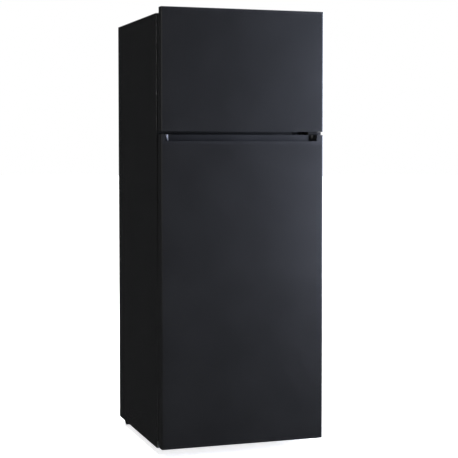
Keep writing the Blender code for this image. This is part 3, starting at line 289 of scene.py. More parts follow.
def drawn(shape, outline, axis, low, high):
    """Adds a bar with that outline, on X in YZ, on Y in XZ and on Z in XY."""
    near = [shape.verts.new(standing(axis, u, v, low)) for u, v in outline]
    far = [shape.verts.new(standing(axis, u, v, high)) for u, v in outline]
    shape.faces.new(near)
    shape.faces.new(far)
    skinned(shape, [near, far])


def sheet_outline(path, thickness):
    """The closed outline of a sheet of that thickness laid on the left of a path."""
    path = [Vector(p) for p in path]
    offset = []
    for i, here in enumerate(path):
        runs = []
        if i:
            runs.append((here - path[i - 1]).normalized())
        if i < len(path) - 1:
            runs.append((path[i + 1] - here).normalized())
        left = sum((Vector((-r.y, r.x)) for r in runs), Vector((0, 0))).normalized()
        spread = left.dot(Vector((-runs[0].y, runs[0].x)))
        offset.append(here + left * (thickness / spread))
    return path + offset[::-1]


zinc = zinc_coated_steel()
back_low, back_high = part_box("back_panel")
half_bead = 0.016
bead_slope = 0.003
bead_depth = 0.0008
back_thickness = 0.0007
wave = [(back_low.x, back_high.y)]
for centre in (-0.18, -0.06, 0.06, 0.18):
    wave += [
        (centre - half_bead - bead_slope, back_high.y),
        (centre - half_bead, back_high.y - bead_depth),
        (centre + half_bead, back_high.y - bead_depth),
        (centre + half_bead + bead_slope, back_high.y),
    ]
wave.append((back_high.x, back_high.y))
back_sheet = bmesh.new()
drawn(back_sheet, sheet_outline(wave[::-1], back_thickness), "Z", back_low.z, back_high.z)
made("beaded_back_sheet", back_sheet, "cabinet", zinc, ("back_panel",), sharp=12)
eased("base_plate", "stepped_base_sheet", zinc, 0.0003, 2)


def block(shape, low, high, radius=0.0, segments=3):
    """Adds a box between two corners, its edges rounded."""
    made_here = bmesh.ops.create_cube(shape, size=1.0)["verts"]
    size = Vector(high) - Vector(low)
    middle = (Vector(low) + Vector(high)) / 2
    for vert in made_here:
        vert.co = Vector(a * b for a, b in zip(vert.co, size)) + middle
    if radius:
        edges = list({edge for vert in made_here for edge in vert.link_edges})
        bmesh.ops.bevel(
            shape, geom=edges, offset=radius, segments=segments, profile=0.5, affect="EDGES"
        )


def turned(shape, profile, centre=(0, 0, 0), axis="Z", steps=32, closed=False, oval=1.0):
    """Adds a turned body from (radius, height) points. On Y its height points to the front."""
    rings = []
    for radius, height in profile:
        ring = []
        for step in range(steps if radius > 0 else 1):
            angle = 2 * math.pi * step / steps
            u, v = radius * math.cos(angle) * oval, radius * math.sin(angle)
            local = {"Z": (u, v, height), "Y": (u, -height, v), "X": (height, u, v)}[axis]
            ring.append(shape.verts.new(Vector(local) + Vector(centre)))
        rings.append(ring)
    for a, b in zip(rings, rings[1:] + (rings[:1] if closed else [])):
        for step in range(steps):
            after = (step + 1) % steps
            corners = [a[step % len(a)], a[after % len(a)], b[after % len(b)], b[step % len(b)]]
            corners = list(dict.fromkeys(corners))
            if len(corners) > 2:
                shape.faces.new(corners)


def settled(piece, keep=False):
    """The mesh of a piece with its modifiers applied."""
    bpy.context.view_layer.update()
    graph = bpy.context.evaluated_depsgraph_get()
    final = bpy.data.meshes.new_from_object(piece.evaluated_get(graph))
    if keep:
        piece.modifiers.clear()
    else:
        bpy.data.objects.remove(piece)
    return final


def hollowed(piece, tool, operation="DIFFERENCE"):
    """Cuts a piece with a tool that isn't kept, or joins it on."""
    mesh = bpy.data.meshes.new("tool")
    bmesh.ops.recalc_face_normals(tool, faces=tool.faces)
    tool.to_mesh(mesh)
    tool.free()
    cutter = bpy.data.objects.new("tool", mesh)
    scene.collection.objects.link(cutter)
    cutting = piece.modifiers.new("cut", "BOOLEAN")
    cutting.operation = operation
    cutting.object = cutter
    cutting.solver = "EXACT"
    piece.data = settled(piece, keep=True)
    bpy.data.objects.remove(cutter)


def cross_head():
    """A small domed screw head with a cross recess, standing on Z, as a mesh to be shared."""
    shape = bmesh.new()
    dome = [(0, 0.0019), (0.0014, 0.0018), (0.0026, 0.0013), (0.0034, 0.0004), (0.0034, 0), (0, 0)]
    turned(shape, dome)
    head = bpy.data.objects.new("head", bpy.data.meshes.new("cross_head"))
    bmesh.ops.recalc_face_normals(shape, faces=shape.faces)
    shape.to_mesh(head.data)
    shape.free()
    scene.collection.objects.link(head)
    for long, wide in ((0.0017, 0.0004), (0.0004, 0.0017)):
        slot = bmesh.new()
        block(slot, (-long, -wide, 0.0008), (long, wide, 0.003))
        hollowed(head, slot)
    mesh = settled(head)
    mesh.materials.append(zinc)
    mesh.shade_smooth()
    mesh.set_sharp_from_angle(angle=math.radians(30))
    return mesh


screw_mesh = cross_head()


def screw(name, place, facing, size=1.0):
    """One cross-head screw in the cabinet, its head towards the way it faces."""
    one = bpy.data.objects.new(name, screw_mesh)
    one.location = place
    one.scale = (size, size, size)
    one.rotation_euler = Vector(facing).to_track_quat("Z", "Y").to_euler()
    scene.collection.objects.link(one)
    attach(one, "cabinet")


from_edge = 0.008
from_end = 0.020
per_side = 5
spacing = (back_high.z - back_low.z - 2 * from_end) / (per_side - 1)
for column, x in enumerate((back_low.x + from_edge, back_high.x - from_edge)):
    for row in range(per_side):
        name = f"back_sheet_screw_{column * per_side + row + 1}"
        screw(name, (x, back_high.y, back_low.z + from_end + row * spacing), (0, 1, 0), size=0.65)


# Insulation. One block of rigid polyurethane foam, poured between the shell and the liners;
# each door holds a slab of the same foam.
def cut_foam():
    material, tree, shader, place = surface("rigid_foam", 0.9)
    cells = tree.nodes.new("ShaderNodeTexVoronoi")
    cells.inputs["Scale"].default_value = 900.0
    tree.links.new(place, cells.inputs["Vector"])
    depth = cells.outputs["Distance"]
    between(tree, depth, (0.72, 0.60, 0.30), (0.82, 0.72, 0.42), shader.inputs["Base Color"])
    relief(tree, shader, depth, 0.5, 0.0006)
    return material


foam = cut_foam()
for node in ("insulation_foam", "freezer_door_foam", "fridge_door_foam"):
    nodes[node].data.materials.clear()
    nodes[node].data.materials.append(foam)


# Liners. Both compartments are vacuum-formed from white plastic sheet with wide inside corners.
# Their front flange, which the door seals meet, is black like the steel crossbeam between them.
def formed_white_plastic():
    material, tree, shader, place = surface("formed_white_plastic", 0.34)
    drift = noise(tree, place, 5.0, 4.0)
    between(tree, drift, (0.78, 0.79, 0.785), (0.84, 0.845, 0.84), shader.inputs["Base Color"])
    between(tree, drift, 0.30, 0.40, shader.inputs["Roughness"])
    relief(tree, shader, noise(tree, place, 260.0, 2.0), 0.05, 0.0005)
    return material


liner_white = formed_white_plastic()
liner_sheet = 0.0015
shelf_clearance = 0.0015
inner_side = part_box("crisper_cover")[1].x + shelf_clearance
corner_radius = 0.012
step_radius = 0.005
freezer_low, freezer_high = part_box("freezer_liner")
fridge_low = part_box("fridge_liner")[0]
cabinet_face = freezer_low.y
room_back = freezer_high.y - liner_sheet
freezer_floor = 1.068
freezer_roof = 1.368
fridge_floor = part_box("crisper_drawer")[0].z - 0.001
fridge_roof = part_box("control_housing")[1].z + 0.0003
step_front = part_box("crisper_cover")[1].y + 0.004
step_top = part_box("crisper_cover")[1].z


def formed_room(name, node, profile):
    """A compartment drawn out along X from its outline in YZ, whose first and last points are
    on the cabinet's face, with a flange round its mouth."""
    low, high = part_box(node)
    face = low.y
    shape = bmesh.new()
    drawn(shape, profile, "X", -inner_side, inner_side)
    mouth = [f for f in shape.faces if all(abs(v.co.y - face) < 1e-6 for v in f.verts)]
    rim = {e for f in mouth for e in f.edges}
    bmesh.ops.delete(shape, geom=mouth, context="FACES_ONLY")
    bends = [e for e in shape.edges if e not in rim and e.calc_face_angle(0) > 0.5]
    step_edge = [
        e for e in bends
        if all(0 < v.co.y < room_back - 0.001 and abs(v.co.z - step_top) < 0.001 for v in e.verts)
    ]
    corners = [e for e in bends if e not in step_edge]
    bmesh.ops.bevel(
        shape, geom=corners, offset=corner_radius, segments=5, profile=0.5, affect="EDGES"
    )
    step_edge = [e for e in step_edge if e.is_valid]
    bmesh.ops.bevel(
        shape, geom=step_edge, offset=step_radius, segments=4, profile=0.5, affect="EDGES"
    )
    middle_z = (profile[0][1] + profile[-1][1]) / 2
    lips = [e for e in shape.edges if e.is_boundary]
    outer = {
        (right, above): shape.verts.new((high.x if right else low.x, face, high.z if above else low.z))
        for right in (False, True) for above in (False, True)
    }
    for lip in lips:
        one, other = lip.verts
        near, far = (outer[(v.co.x > 0, v.co.z > middle_z)] for v in (one, other))
        flange = shape.faces.new(list(dict.fromkeys((one, other, far, near))))
        flange.material_index = 1
    piece = made(name, shape, "cabinet", [liner_white, cabinet_paint], (node,), 50)
    back_wall = max(piece.data.polygons, key=lambda one: abs(one.normal.y) * one.area)
    if back_wall.normal.y > 0:
        piece.data.flip_normals()
    thickness = piece.modifiers.new("sheet", "SOLIDIFY")
    thickness.thickness = liner_sheet
    thickness.offset = 1.0
    rolled_lip = piece.modifiers.new("rolled_lip", "BEVEL")
    rolled_lip.width = 0.0012
    rolled_lip.segments = 3
    rolled_lip.angle_limit = math.radians(60)
    rolled_lip.limit_method = "ANGLE"
    piece.modifiers.move(piece.modifiers.find("flats"), 2)


formed_room(
    "freezer_compartment",
    "freezer_liner",
    [
        (cabinet_face, freezer_floor), (room_back, freezer_floor),
        (room_back, freezer_roof), (cabinet_face, freezer_roof),
    ],
)
formed_room(
    "fridge_compartment",
    "fridge_liner",
    [
        (cabinet_face, fridge_floor), (step_front, fridge_floor), (step_front, step_top),
        (room_back, step_top), (room_back, fridge_roof), (cabinet_face, fridge_roof),
    ],
)


def shelf_ribs(name, node, back):
    """The pair of ribs under a shelf, blown out of the liner's side walls."""
    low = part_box(node)[0]
    ribs = bmesh.new()
    for side in (-1, 1):
        ends = sorted((side * (inner_side + 0.001), side * (inner_side - 0.010)))
        rib_low, rib_high = (ends[0], low.y, low.z - 0.010), (ends[1], back, low.z - 0.0003)
        block(ribs, rib_low, rib_high, 0.003)
    made(name, ribs, "cabinet", liner_white)


for shelf, back in (
    ("freezer_shelf", 0.205), ("lower_shelf", 0.215), ("upper_shelf", 0.215), ("crisper_cover", 0.070),
):
    shelf_ribs(f"{shelf}_ribs", shelf, back)
eased("crossbeam", "face_crossbeam", cabinet_paint, 0.0003, 2)
beam_low, beam_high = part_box("crossbeam")
tape_front = cabinet_face + liner_sheet + 0.00005
tape_thickness = 0.0002
flange_inner = 0.262
flange_outer = 0.2739
seam = 0.0002
overlap = 0.003
tape = bmesh.new()
for left, low, right, high in (
    (seam - flange_inner, beam_low.z - overlap, flange_inner - seam, beam_high.z + overlap),
    (-flange_outer, fridge_low.z, -flange_inner - seam, freezer_high.z),
    (flange_inner + seam, fridge_low.z, flange_outer, freezer_high.z),
):
    block(tape, (left, tape_front, low), (right, tape_front + tape_thickness, high))
made("seam_tape", tape, "cabinet", cabinet_paint)


# Evaporator. An aluminium plate roll-bonded from two sheets, with the refrigerant channel
# blown up between them, held off the freezer's back wall on four posts.
def rolled_aluminium():
    material, tree, shader, place = surface("rolled_aluminium", 0.42, metallic=1.0)
    grain = noise(tree, place, 60.0, 4.0, stretch=(1.0, 1.0, 14.0))
    between(tree, grain, (0.70, 0.71, 0.72), (0.84, 0.85, 0.86), shader.inputs["Base Color"])
    between(tree, grain, 0.36, 0.52, shader.inputs["Roughness"])
    relief(tree, shader, grain, 0.05, 0.0003)
    return material


aluminium = rolled_aluminium()


def rolled(corners, steps=6):
    """Points of an outline whose corners (u, v, radius) are drawn as arcs."""
    points = []
    for i, (u, v, radius) in enumerate(corners):
        here = Vector((u, v))
        if radius == 0:
            points.append(here)
            continue
        before = (Vector(corners[i - 1][:2]) - here).normalized()
        after = (Vector(corners[(i + 1) % len(corners)][:2]) - here).normalized()
        half = before.angle(after) / 2
        centre = here + (before + after).normalized() * (radius / math.sin(half))
        start = here + before * (radius / math.tan(half)) - centre
        sweep = math.pi - 2 * half
        if before.cross(after) > 0:
            sweep = -sweep
        for step in range(steps + 1):
            points.append(centre + Matrix.Rotation(sweep * step / steps, 2) @ start)
    return points


def round_cornered(left, low, right, high, radius):
    """A rectangle's outline with round corners."""
    corners = ((left, low), (right, low), (right, high), (left, high))
    return rolled([(u, v, radius) for u, v in corners])


def piped(shape, points, radius, sides=10):
    """Adds a round pipe along points."""
    points = [Vector(p) for p in points]
    side = (points[1] - points[0]).normalized().orthogonal()
    rings = []
    for i, here in enumerate(points):
        along = (points[min(i + 1, len(points) - 1)] - points[max(i - 1, 0)]).normalized()
        side = (side - along * side.dot(along)).normalized()
        other = along.cross(side)
        ring = []
        for step in range(sides):
            angle = 2 * math.pi * step / sides
            place = here + radius * (side * math.cos(angle) + other * math.sin(angle))
            ring.append(shape.verts.new(place))
        rings.append(ring)
    skinned(shape, rings)
    shape.faces.new(rings[0])
    shape.faces.new(rings[-1])


plate_low, plate_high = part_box("evaporator_plate")
plate_outline = round_cornered(plate_low.x, plate_low.z, plate_high.x, plate_high.z, 0.008)
plate = bmesh.new()
drawn(plate, plate_outline, "Y", plate_low.y, plate_low.y + 0.0015)
post_inset = 0.020
posts = [
    (x, z)
    for x in (plate_low.x + post_inset, plate_high.x - post_inset)
    for z in (plate_low.z + post_inset, plate_high.z - post_inset)
]
post = [(0, 0), (0.005, 0), (0.005, -0.0137), (0, -0.0137)]
for x, z in posts:
    turned(plate, post, (x, plate_low.y + 0.0010, z), "Y", 20)
passes = 7
pitch = 0.032
channel_inset = 0.045
channel_left, channel_right = plate_low.x + channel_inset, plate_high.x - channel_inset
channel_low = (plate_low.z + plate_high.z) / 2 - (passes - 1) * pitch / 2
channel = []
for row in range(passes):
    start, end = (channel_left, channel_right) if row % 2 == 0 else (channel_right, channel_left)
    height = channel_low + row * pitch
    channel += [(start, plate_low.y, height), (end, plate_low.y, height)]
    if row < passes - 1:
        turn = 1 if end > start else -1
        for step in range(1, 8):
            angle = math.pi * step / 8 - math.pi / 2
            x = end + turn * pitch / 2 * math.cos(angle)
            channel.append((x, plate_low.y, height + pitch / 2 + pitch / 2 * math.sin(angle)))
piped(plate, channel, 0.0032, 12)
made("roll_bonded_plate", plate, "cabinet", aluminium, ("evaporator_plate",), 30, 0.0003, 2)
for count, (x, z) in enumerate(posts, 1):
    screw(f"plate_screw_{count}", (x, plate_low.y, z), (0, -1, 0))


# Glass shelves. Toughened glass plates with ground edges that lie on the liner's ribs; the two
# in the fridge carry a white moulded trim along the front.
def shelf_glass(name, tint, roughness, smear):
    material, tree, shader, place = surface(name, roughness)
    shader.inputs["Transmission Weight"].default_value = 0.92
    shader.inputs["IOR"].default_value = 1.5
    film = noise(tree, place, 9.0, 4.0)
    between(tree, film, tint, tuple(0.96 * c for c in tint), shader.inputs["Base Color"])
    between(tree, film, roughness, roughness + smear, shader.inputs["Roughness"])
    return material


plate_glass = shelf_glass("toughened_glass", (0.93, 0.98, 0.955), 0.02, 0.05)
ground_edge = shelf_glass("ground_glass_edge", (0.30, 0.62, 0.50), 0.25, 0.15)


def glass_plate(node, name):
    """A glass plate whose narrow sides are the deeper green of ground glass."""
    low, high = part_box(node)
    shape = bmesh.new()
    drawn(shape, round_cornered(low.x, low.y, high.x, high.y, 0.004), "Z", low.z, high.z)
    for one in shape.faces:
        one.normal_update()
        if abs(one.normal.z) < 0.5:
            one.material_index = 1
    made(name, shape, "cabinet", [plate_glass, ground_edge], (node,), 35, 0.0006, 2)


glass_plate("lower_shelf", "lower_glass_shelf")
glass_plate("upper_shelf", "upper_glass_shelf")
glass_plate("crisper_cover", "glass_drawer_cover")
glass_plate("freezer_shelf", "freezer_glass_shelf")
for shelf in ("lower_shelf", "upper_shelf"):
    eased(f"{shelf}_trim", f"{shelf}_front", liner_white, 0.0003, 2)


# Crisper drawer and bins. Injection-moulded in clear plastic with a rolled rim, drafted sides
# and round corners; the drawer slides under the glass cover and has a finger lip.
def clear_moulding():
    material, tree, shader, place = surface("clear_moulding", 0.10)
    shader.inputs["Transmission Weight"].default_value = 0.86
    shader.inputs["IOR"].default_value = 1.49
    flow = noise(tree, place, 16.0, 3.0)
    between(tree, flow, (0.86, 0.93, 0.95), (0.92, 0.965, 0.98), shader.inputs["Base Color"])
    between(tree, flow, 0.08, 0.18, shader.inputs["Roughness"])
    relief(tree, shader, noise(tree, place, 120.0, 2.0), 0.04, 0.0005)
    return material


clear_plastic = clear_moulding()
wall = 0.002


def moulded_tray(shape, low, high, corner=0.012, draft=0.0015):
    """Adds an open tray: drafted walls, a round floor edge and a rolled rim."""
    floor_edge, rim, round_off = 0.004, 0.0012, 0.0012
    inside = draft + wall
    rings = [
        (draft + floor_edge, low.z),
        (draft + round_off, low.z + round_off),
        (draft, low.z + floor_edge),
        (rim, high.z - 0.006),
        (0.0, high.z - 0.0048),
        (0.0, high.z - 0.0010),
        (0.0010, high.z),
        (rim + wall - 0.0008, high.z),
        (rim + wall, high.z - 0.0010),
        (inside, low.z + wall + floor_edge),
        (inside + round_off, low.z + wall + round_off),
        (inside + floor_edge, low.z + wall),
    ]
    loops = []
    for inset, height in rings:
        outline = round_cornered(
            low.x + inset, low.y + inset, high.x - inset, high.y - inset, max(corner - inset, 0.002)
        )
        loops.append([shape.verts.new((u, v, height)) for u, v in outline])
    skinned(shape, loops)
    shape.faces.new(loops[0])
    shape.faces.new(loops[-1])


def floor_ribs(shape, low, high, number):
    """Adds low ribs across a tray's floor, which keep what stands in it off the wet."""
    half, from_wall = 0.0012, 0.012
    for row in range(number):
        x = low.x + (high.x - low.x) * (row + 1) / (number + 1)
        near = (x - half, low.y + from_wall, low.z + wall - 0.0004)
        far = (x + half, high.y - from_wall, low.z + wall + 0.0014)
        block(shape, near, far, 0.0006, 2)


drawer_low, drawer_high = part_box("crisper_drawer")
drawer = bmesh.new()
moulded_tray(drawer, drawer_low, drawer_high, corner=0.016, draft=0.004)
floor_ribs(drawer, drawer_low, drawer_high, 9)
lip_half, lip_thickness = 0.070, 0.002
lip_root, lip_back = drawer_low.y + 0.0015, drawer_low.y - 0.009
lip_front = lip_back - lip_thickness
lip_top, lip_end = drawer_high.z - 0.0045, drawer_high.z - 0.020
finger_lip = rolled([
    (lip_root, lip_top - lip_thickness, 0), (lip_back, lip_top - lip_thickness, 0),
    (lip_back, lip_end, 0.0008), (lip_front, lip_end, 0.0008),
    (lip_front, lip_top, 0.0025), (lip_root, lip_top, 0),
], steps=4)
drawn(drawer, finger_lip, "X", -lip_half, lip_half)
made("crisper_box", drawer, "crisper", clear_plastic, ("crisper_drawer",), 40)
for node, name in (
    ("freezer_door_bin", "freezer_bin"),
    ("bottle_bin", "tall_bottle_bin"),
    ("middle_door_bin", "middle_bin"),
    ("upper_door_bin", "upper_bin"),
):
    low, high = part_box(node)
    tray = bmesh.new()
    moulded_tray(tray, low, high)
    floor_ribs(tray, low, high, 7)
    made(name, tray, nodes[node]["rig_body"], clear_plastic, (node,), 40)


# Control housing. A white moulding screwed under the fridge's ceiling, with the thermostat knob
# and its printed figures in front and the lamp behind a ribbed lens below.
def moulded_white_plastic():
    material, tree, shader, place = surface("moulded_white_plastic", 0.40)
    drift = noise(tree, place, 20.0)
    between(tree, drift, (0.76, 0.77, 0.77), (0.82, 0.83, 0.83), shader.inputs["Base Color"])
    between(tree, drift, 0.36, 0.46, shader.inputs["Roughness"])
    relief(tree, shader, noise(tree, place, 1500.0, 1.0), 0.10, 0.0001)
    return material


def printed_grey():
    material, tree, shader, place = surface("printed_grey", 0.6)
    grain = noise(tree, place, 3000.0, 1.0)
    between(tree, grain, (0.05, 0.055, 0.07), (0.08, 0.085, 0.10), shader.inputs["Base Color"])
    return material


white_moulding = moulded_white_plastic()
dial_ink = printed_grey()
eased("control_housing", "thermostat_housing", white_moulding)
housing_low, housing_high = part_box("control_housing")
knob_low, knob_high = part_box("thermostat_knob")
knob_x = (knob_low.x + knob_high.x) / 2
knob_z = (knob_low.z + knob_high.z) / 2
knob_seat = housing_low.y - 0.0003

flutes, around = 24, 192
knob_profile = (
    (0.0, 0.0140, 0.0), (0.0006, 0.0145, 0.0), (0.0020, 0.0145, 0.0), (0.0024, 0.0136, 0.0004),
    (0.0110, 0.0126, 0.0004), (0.0120, 0.0120, 0.0002), (0.0125, 0.0110, 0.0), (0.0120, 0.0085, 0.0),
)
knob = bmesh.new()
loops = []
for depth, radius, flute in knob_profile:
    loop = []
    for step in range(around):
        angle = 2 * math.pi * step / around
        r = radius - flute * (0.5 + 0.5 * math.cos(flutes * angle))
        x, z = knob_x + r * math.cos(angle), knob_z + r * math.sin(angle)
        loop.append(knob.verts.new((x, knob_seat - depth, z)))
    loops.append(loop)
skinned(knob, loops)
knob.faces.new(loops[0])
knob.faces.new(loops[-1])
grip_low = (knob_x - 0.0018, knob_seat - 0.0142, knob_z - 0.0115)
grip_high = (knob_x + 0.0018, knob_seat - 0.0110, knob_z + 0.0115)
block(knob, grip_low, grip_high, 0.0007, 2)
made("fluted_knob", knob, "thermostat", white_moulding, ("thermostat_knob",), 50)
pointer = bmesh.new()
pointer_low = (knob_x - 0.0006, knob_seat - 0.01435, knob_z + 0.0030)
pointer_high = (knob_x + 0.0006, knob_seat - 0.0138, knob_z + 0.0108)
block(pointer, pointer_low, pointer_high, 0.0001, 1)
made("knob_pointer_line", pointer, "thermostat", dial_ink)

dial_radius = 0.0178
for figure in range(8):
    angle = math.radians(-140 + 40 * figure)
    text = bpy.data.curves.new(f"dial_figure_{figure}", "FONT")
    text.body = str(figure)
    text.size = 0.0052
    text.align_x = "CENTER"
    text.align_y = "CENTER"
    text.extrude = 0.00005
    text.materials.append(dial_ink)
    printed = bpy.data.objects.new(f"dial_figure_{figure}", text)
    x, z = knob_x + dial_radius * math.sin(angle), knob_z + dial_radius * math.cos(angle)
    printed.location = (x, housing_low.y - 0.0001, z)
    printed.rotation_euler = (math.radians(90), 0, 0)
    scene.collection.objects.link(printed)
    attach(printed, "cabinet")

lens_low, lens_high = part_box("lamp_lens")
rib_count, rib_depth = 26, 0.0008
rib_width = (lens_high.y - lens_low.y) / rib_count
ribbed = [(lens_low.y, lens_high.z)]
for step in range(4 * rib_count):
    rise = rib_depth * math.sin(math.pi * (step % 4) / 4)
    ribbed.append((lens_low.y + rib_width * step / 4, lens_low.z + rib_depth - rise))
ribbed += [(lens_high.y, lens_low.z + rib_depth), (lens_high.y, lens_high.z)]
lens_plate = bmesh.new()
drawn(lens_plate, ribbed, "X", lens_low.x, lens_high.x)
made("ribbed_lamp_lens", lens_plate, "cabinet", clear_plastic, ("lamp_lens",), 40)


def bulb_glass():
    material, tree, shader, place = surface("frosted_bulb_glass", 0.35)
    shader.inputs["Transmission Weight"].default_value = 0.45
    haze = noise(tree, place, 60.0)
    between(tree, haze, (0.88, 0.86, 0.80), (0.96, 0.95, 0.90), shader.inputs["Base Color"])
    return material


bulb_centre = (0.0, -0.120, housing_low.z + 0.021)
bulb_profile = [
    (0, 0), (0.0055, -0.0010), (0.0096, -0.0045), (0.0118, -0.0105), (0.0120, -0.0165),
    (0.0098, -0.0265), (0.0068, -0.0340), (0.0062, -0.0370), (0, -0.0370),
]
bulb = bmesh.new()
turned(bulb, bulb_profile, bulb_centre, "Y", 40)
made("lamp_bulb", bulb, "cabinet", bulb_glass(), (), 60)
thread_pitch = 0.0030
thread = [(0, -0.0365)]
for turn in range(6):
    root = -0.0370 - thread_pitch * turn
    thread += [(0.0062, root), (0.0069, root - thread_pitch / 2)]
thread += [(0.0062, -0.0555), (0.0030, -0.0580), (0, -0.0580)]
cap = bmesh.new()
turned(cap, thread, bulb_centre, "Y", 32)
made("lamp_cap", cap, "cabinet", aluminium, (), 60)
eased("door_switch_plunger", "switch_plunger", white_moulding)
for count, x in enumerate((housing_low.x + 0.006, housing_high.x - 0.006), 1):
    screw(f"housing_screw_{count}", (x, housing_low.y + 0.030, housing_low.z), (0, 0, -1))


# Hinges. Pressed steel with riveted pins: a zinc-plated plate on the top under a clip-on cover,
# and two black brackets bolted to the cabinet's face, one below and one between the doors in a
# rubber sleeve.
def plated_steel():
    material, tree, shader, place = surface("plated_steel", 0.30, metallic=1.0)
    wear = noise(tree, place, 45.0, 4.0)
    between(tree, wear, (0.50, 0.50, 0.50), (0.66, 0.66, 0.65), shader.inputs["Base Color"])
    between(tree, wear, 0.24, 0.42, shader.inputs["Roughness"])
    relief(tree, shader, noise(tree, place, 800.0, 2.0), 0.05, 0.0002)
    return material


def black_plated_steel():
    material, tree, shader, place = surface("black_plated_steel", 0.45, metallic=1.0)
    wear = noise(tree, place, 45.0, 4.0)
    between(tree, wear, (0.020, 0.020, 0.021), (0.035, 0.035, 0.037), shader.inputs["Base Color"])
    between(tree, wear, 0.40, 0.52, shader.inputs["Roughness"])
    return material


plated = plated_steel()
black_plated = black_plated_steel()
eased("top_hinge", "top_hinge_plate", plated, 0.0003, 2, 40)
for hinge in ("middle_hinge", "bottom_hinge"):
    eased(hinge, f"{hinge}_bracket", black_plated, 0.0003, 2, 40)


def hex_bolt(name, place):
    """A flanged hexagon bolt head that faces the front, blackened like the bracket it holds."""
    flange = [(0, 0.0012), (0.0052, 0.0010), (0.0058, 0.0003), (0.0058, 0), (0, 0)]
    hexagon = [(0, 0.0040), (0.0036, 0.0040), (0.0043, 0.0035), (0.0043, 0.0006), (0, 0.0006)]
    head = bmesh.new()
    turned(head, flange, place, "Y", 28)
    turned(head, hexagon, place, "Y", 6)
    made(name, head, "cabinet", black_plated, (), 30, 0.0002, 2)


bracket_face = cabinet_face - 0.0033
bottom_bolt_height = 0.0338
bolt_heights = {"middle_hinge": (beam_low.z + beam_high.z) / 2, "bottom_hinge": bottom_bolt_height}
for node, height in bolt_heights.items():
    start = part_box(node)[0].x
    for count, x in enumerate((start + 0.008, start + 0.026), 1):
        hex_bolt(f"{node}_bolt_{count}", (x, bracket_face, height))


def black_moulding():
    material, tree, shader, place = surface("black_moulding", 0.25)
    drift = noise(tree, place, 14.0)
    black, worn_black = (0.0050, 0.0050, 0.0054), (0.0066, 0.0066, 0.0070)
    between(tree, drift, black, worn_black, shader.inputs["Base Color"])
    between(tree, drift, 0.235, 0.265, shader.inputs["Roughness"])
    relief(tree, shader, noise(tree, place, 1900.0, 1.0), 0.10, 0.0001)
    return material


moulding = black_moulding()
eased("hinge_cover", "top_hinge_cover", moulding, sharp=40)


def seal_rubber():
    material, tree, shader, place = surface("seal_rubber", 0.62)
    shader.inputs["Specular IOR Level"].default_value = 0.2
    bloom = noise(tree, place, 30.0, 4.0)
    between(tree, bloom, (0.010, 0.010, 0.011), (0.019, 0.019, 0.020), shader.inputs["Base Color"])
    between(tree, bloom, 0.55, 0.72, shader.inputs["Roughness"])
    relief(tree, shader, noise(tree, place, 700.0, 2.0), 0.10, 0.0002)
    return material


rubber = seal_rubber()
gap_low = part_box("fridge_door_top_cap")[1].z
gap_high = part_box("freezer_door_bottom_cap")[0].z
pin = Vector((0.261, -0.251, (gap_low + gap_high) / 2))
pin_clearance = 0.0070
half_slot = 0.0019
sleeve_play = 0.0005
sleeve_low = (0.2290, -0.2645, gap_low + sleeve_play)
sleeve_high = (0.2742, -0.2300, gap_high - sleeve_play)
shape = bmesh.new()
block(shape, sleeve_low, sleeve_high, 0.0008, 2)
sleeve = made("middle_hinge_sleeve", shape, "cabinet", rubber, (), 40)
sleeve.modifiers.clear()
arm_room = bmesh.new()
block(arm_room, (0.2300, -0.2622, pin.z - half_slot), (0.2725, -0.2200, pin.z + half_slot))
hollowed(sleeve, arm_room)
pin_room = bmesh.new()
pin_bore = [(0, 0.01), (pin_clearance, 0.01), (pin_clearance, -0.01), (0, -0.01)]
turned(pin_room, pin_bore, pin, "Z", 32)
hollowed(sleeve, pin_room)


# Doors. Each front is one sheet of the same coated steel, rolled round both upright edges and
# joggled at the back, closed above and below by moulded caps; the lower door's top cap is the
# hand grip.
for door in ("freezer", "fridge"):
    eased(f"{door}_door_skin", f"{door}_door_front", cabinet_paint)
    for end in ("top", "bottom"):
        eased(f"{door}_door_{end}_cap", f"{door}_door_{end}_trim", moulding)


# Door liners. Each door's inside is vacuum-formed in white plastic: a raised middle that enters
# the compartment, a dyke on each side that carries the bins, and a black margin round the seal.
def blacken_outside_seal(piece, door):
    """The sheet's margin outside the seal groove is printed black to match the front."""
    low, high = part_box(f"{door}_door_gasket")
    into_groove = Vector((0.006, 0, 0.006))
    low, high = low + into_groove, high - into_groove
    sheet = bmesh.new()
    sheet.from_mesh(piece.data)
    for point, across in (
        ((low.x, 0, 0), (1, 0, 0)), ((high.x, 0, 0), (1, 0, 0)),
        ((0, 0, low.z), (0, 0, 1)), ((0, 0, high.z), (0, 0, 1)),
    ):
        everything = sheet.verts[:] + sheet.edges[:] + sheet.faces[:]
        bmesh.ops.bisect_plane(sheet, geom=everything, plane_co=point, plane_no=across)
    for one in sheet.faces:
        centre = one.calc_center_median()
        inside = low.x < centre.x < high.x and low.z < centre.z < high.z
        one.material_index = 0 if inside else 1
    sheet.to_mesh(piece.data)
    sheet.free()
    piece.data.materials.append(moulding)


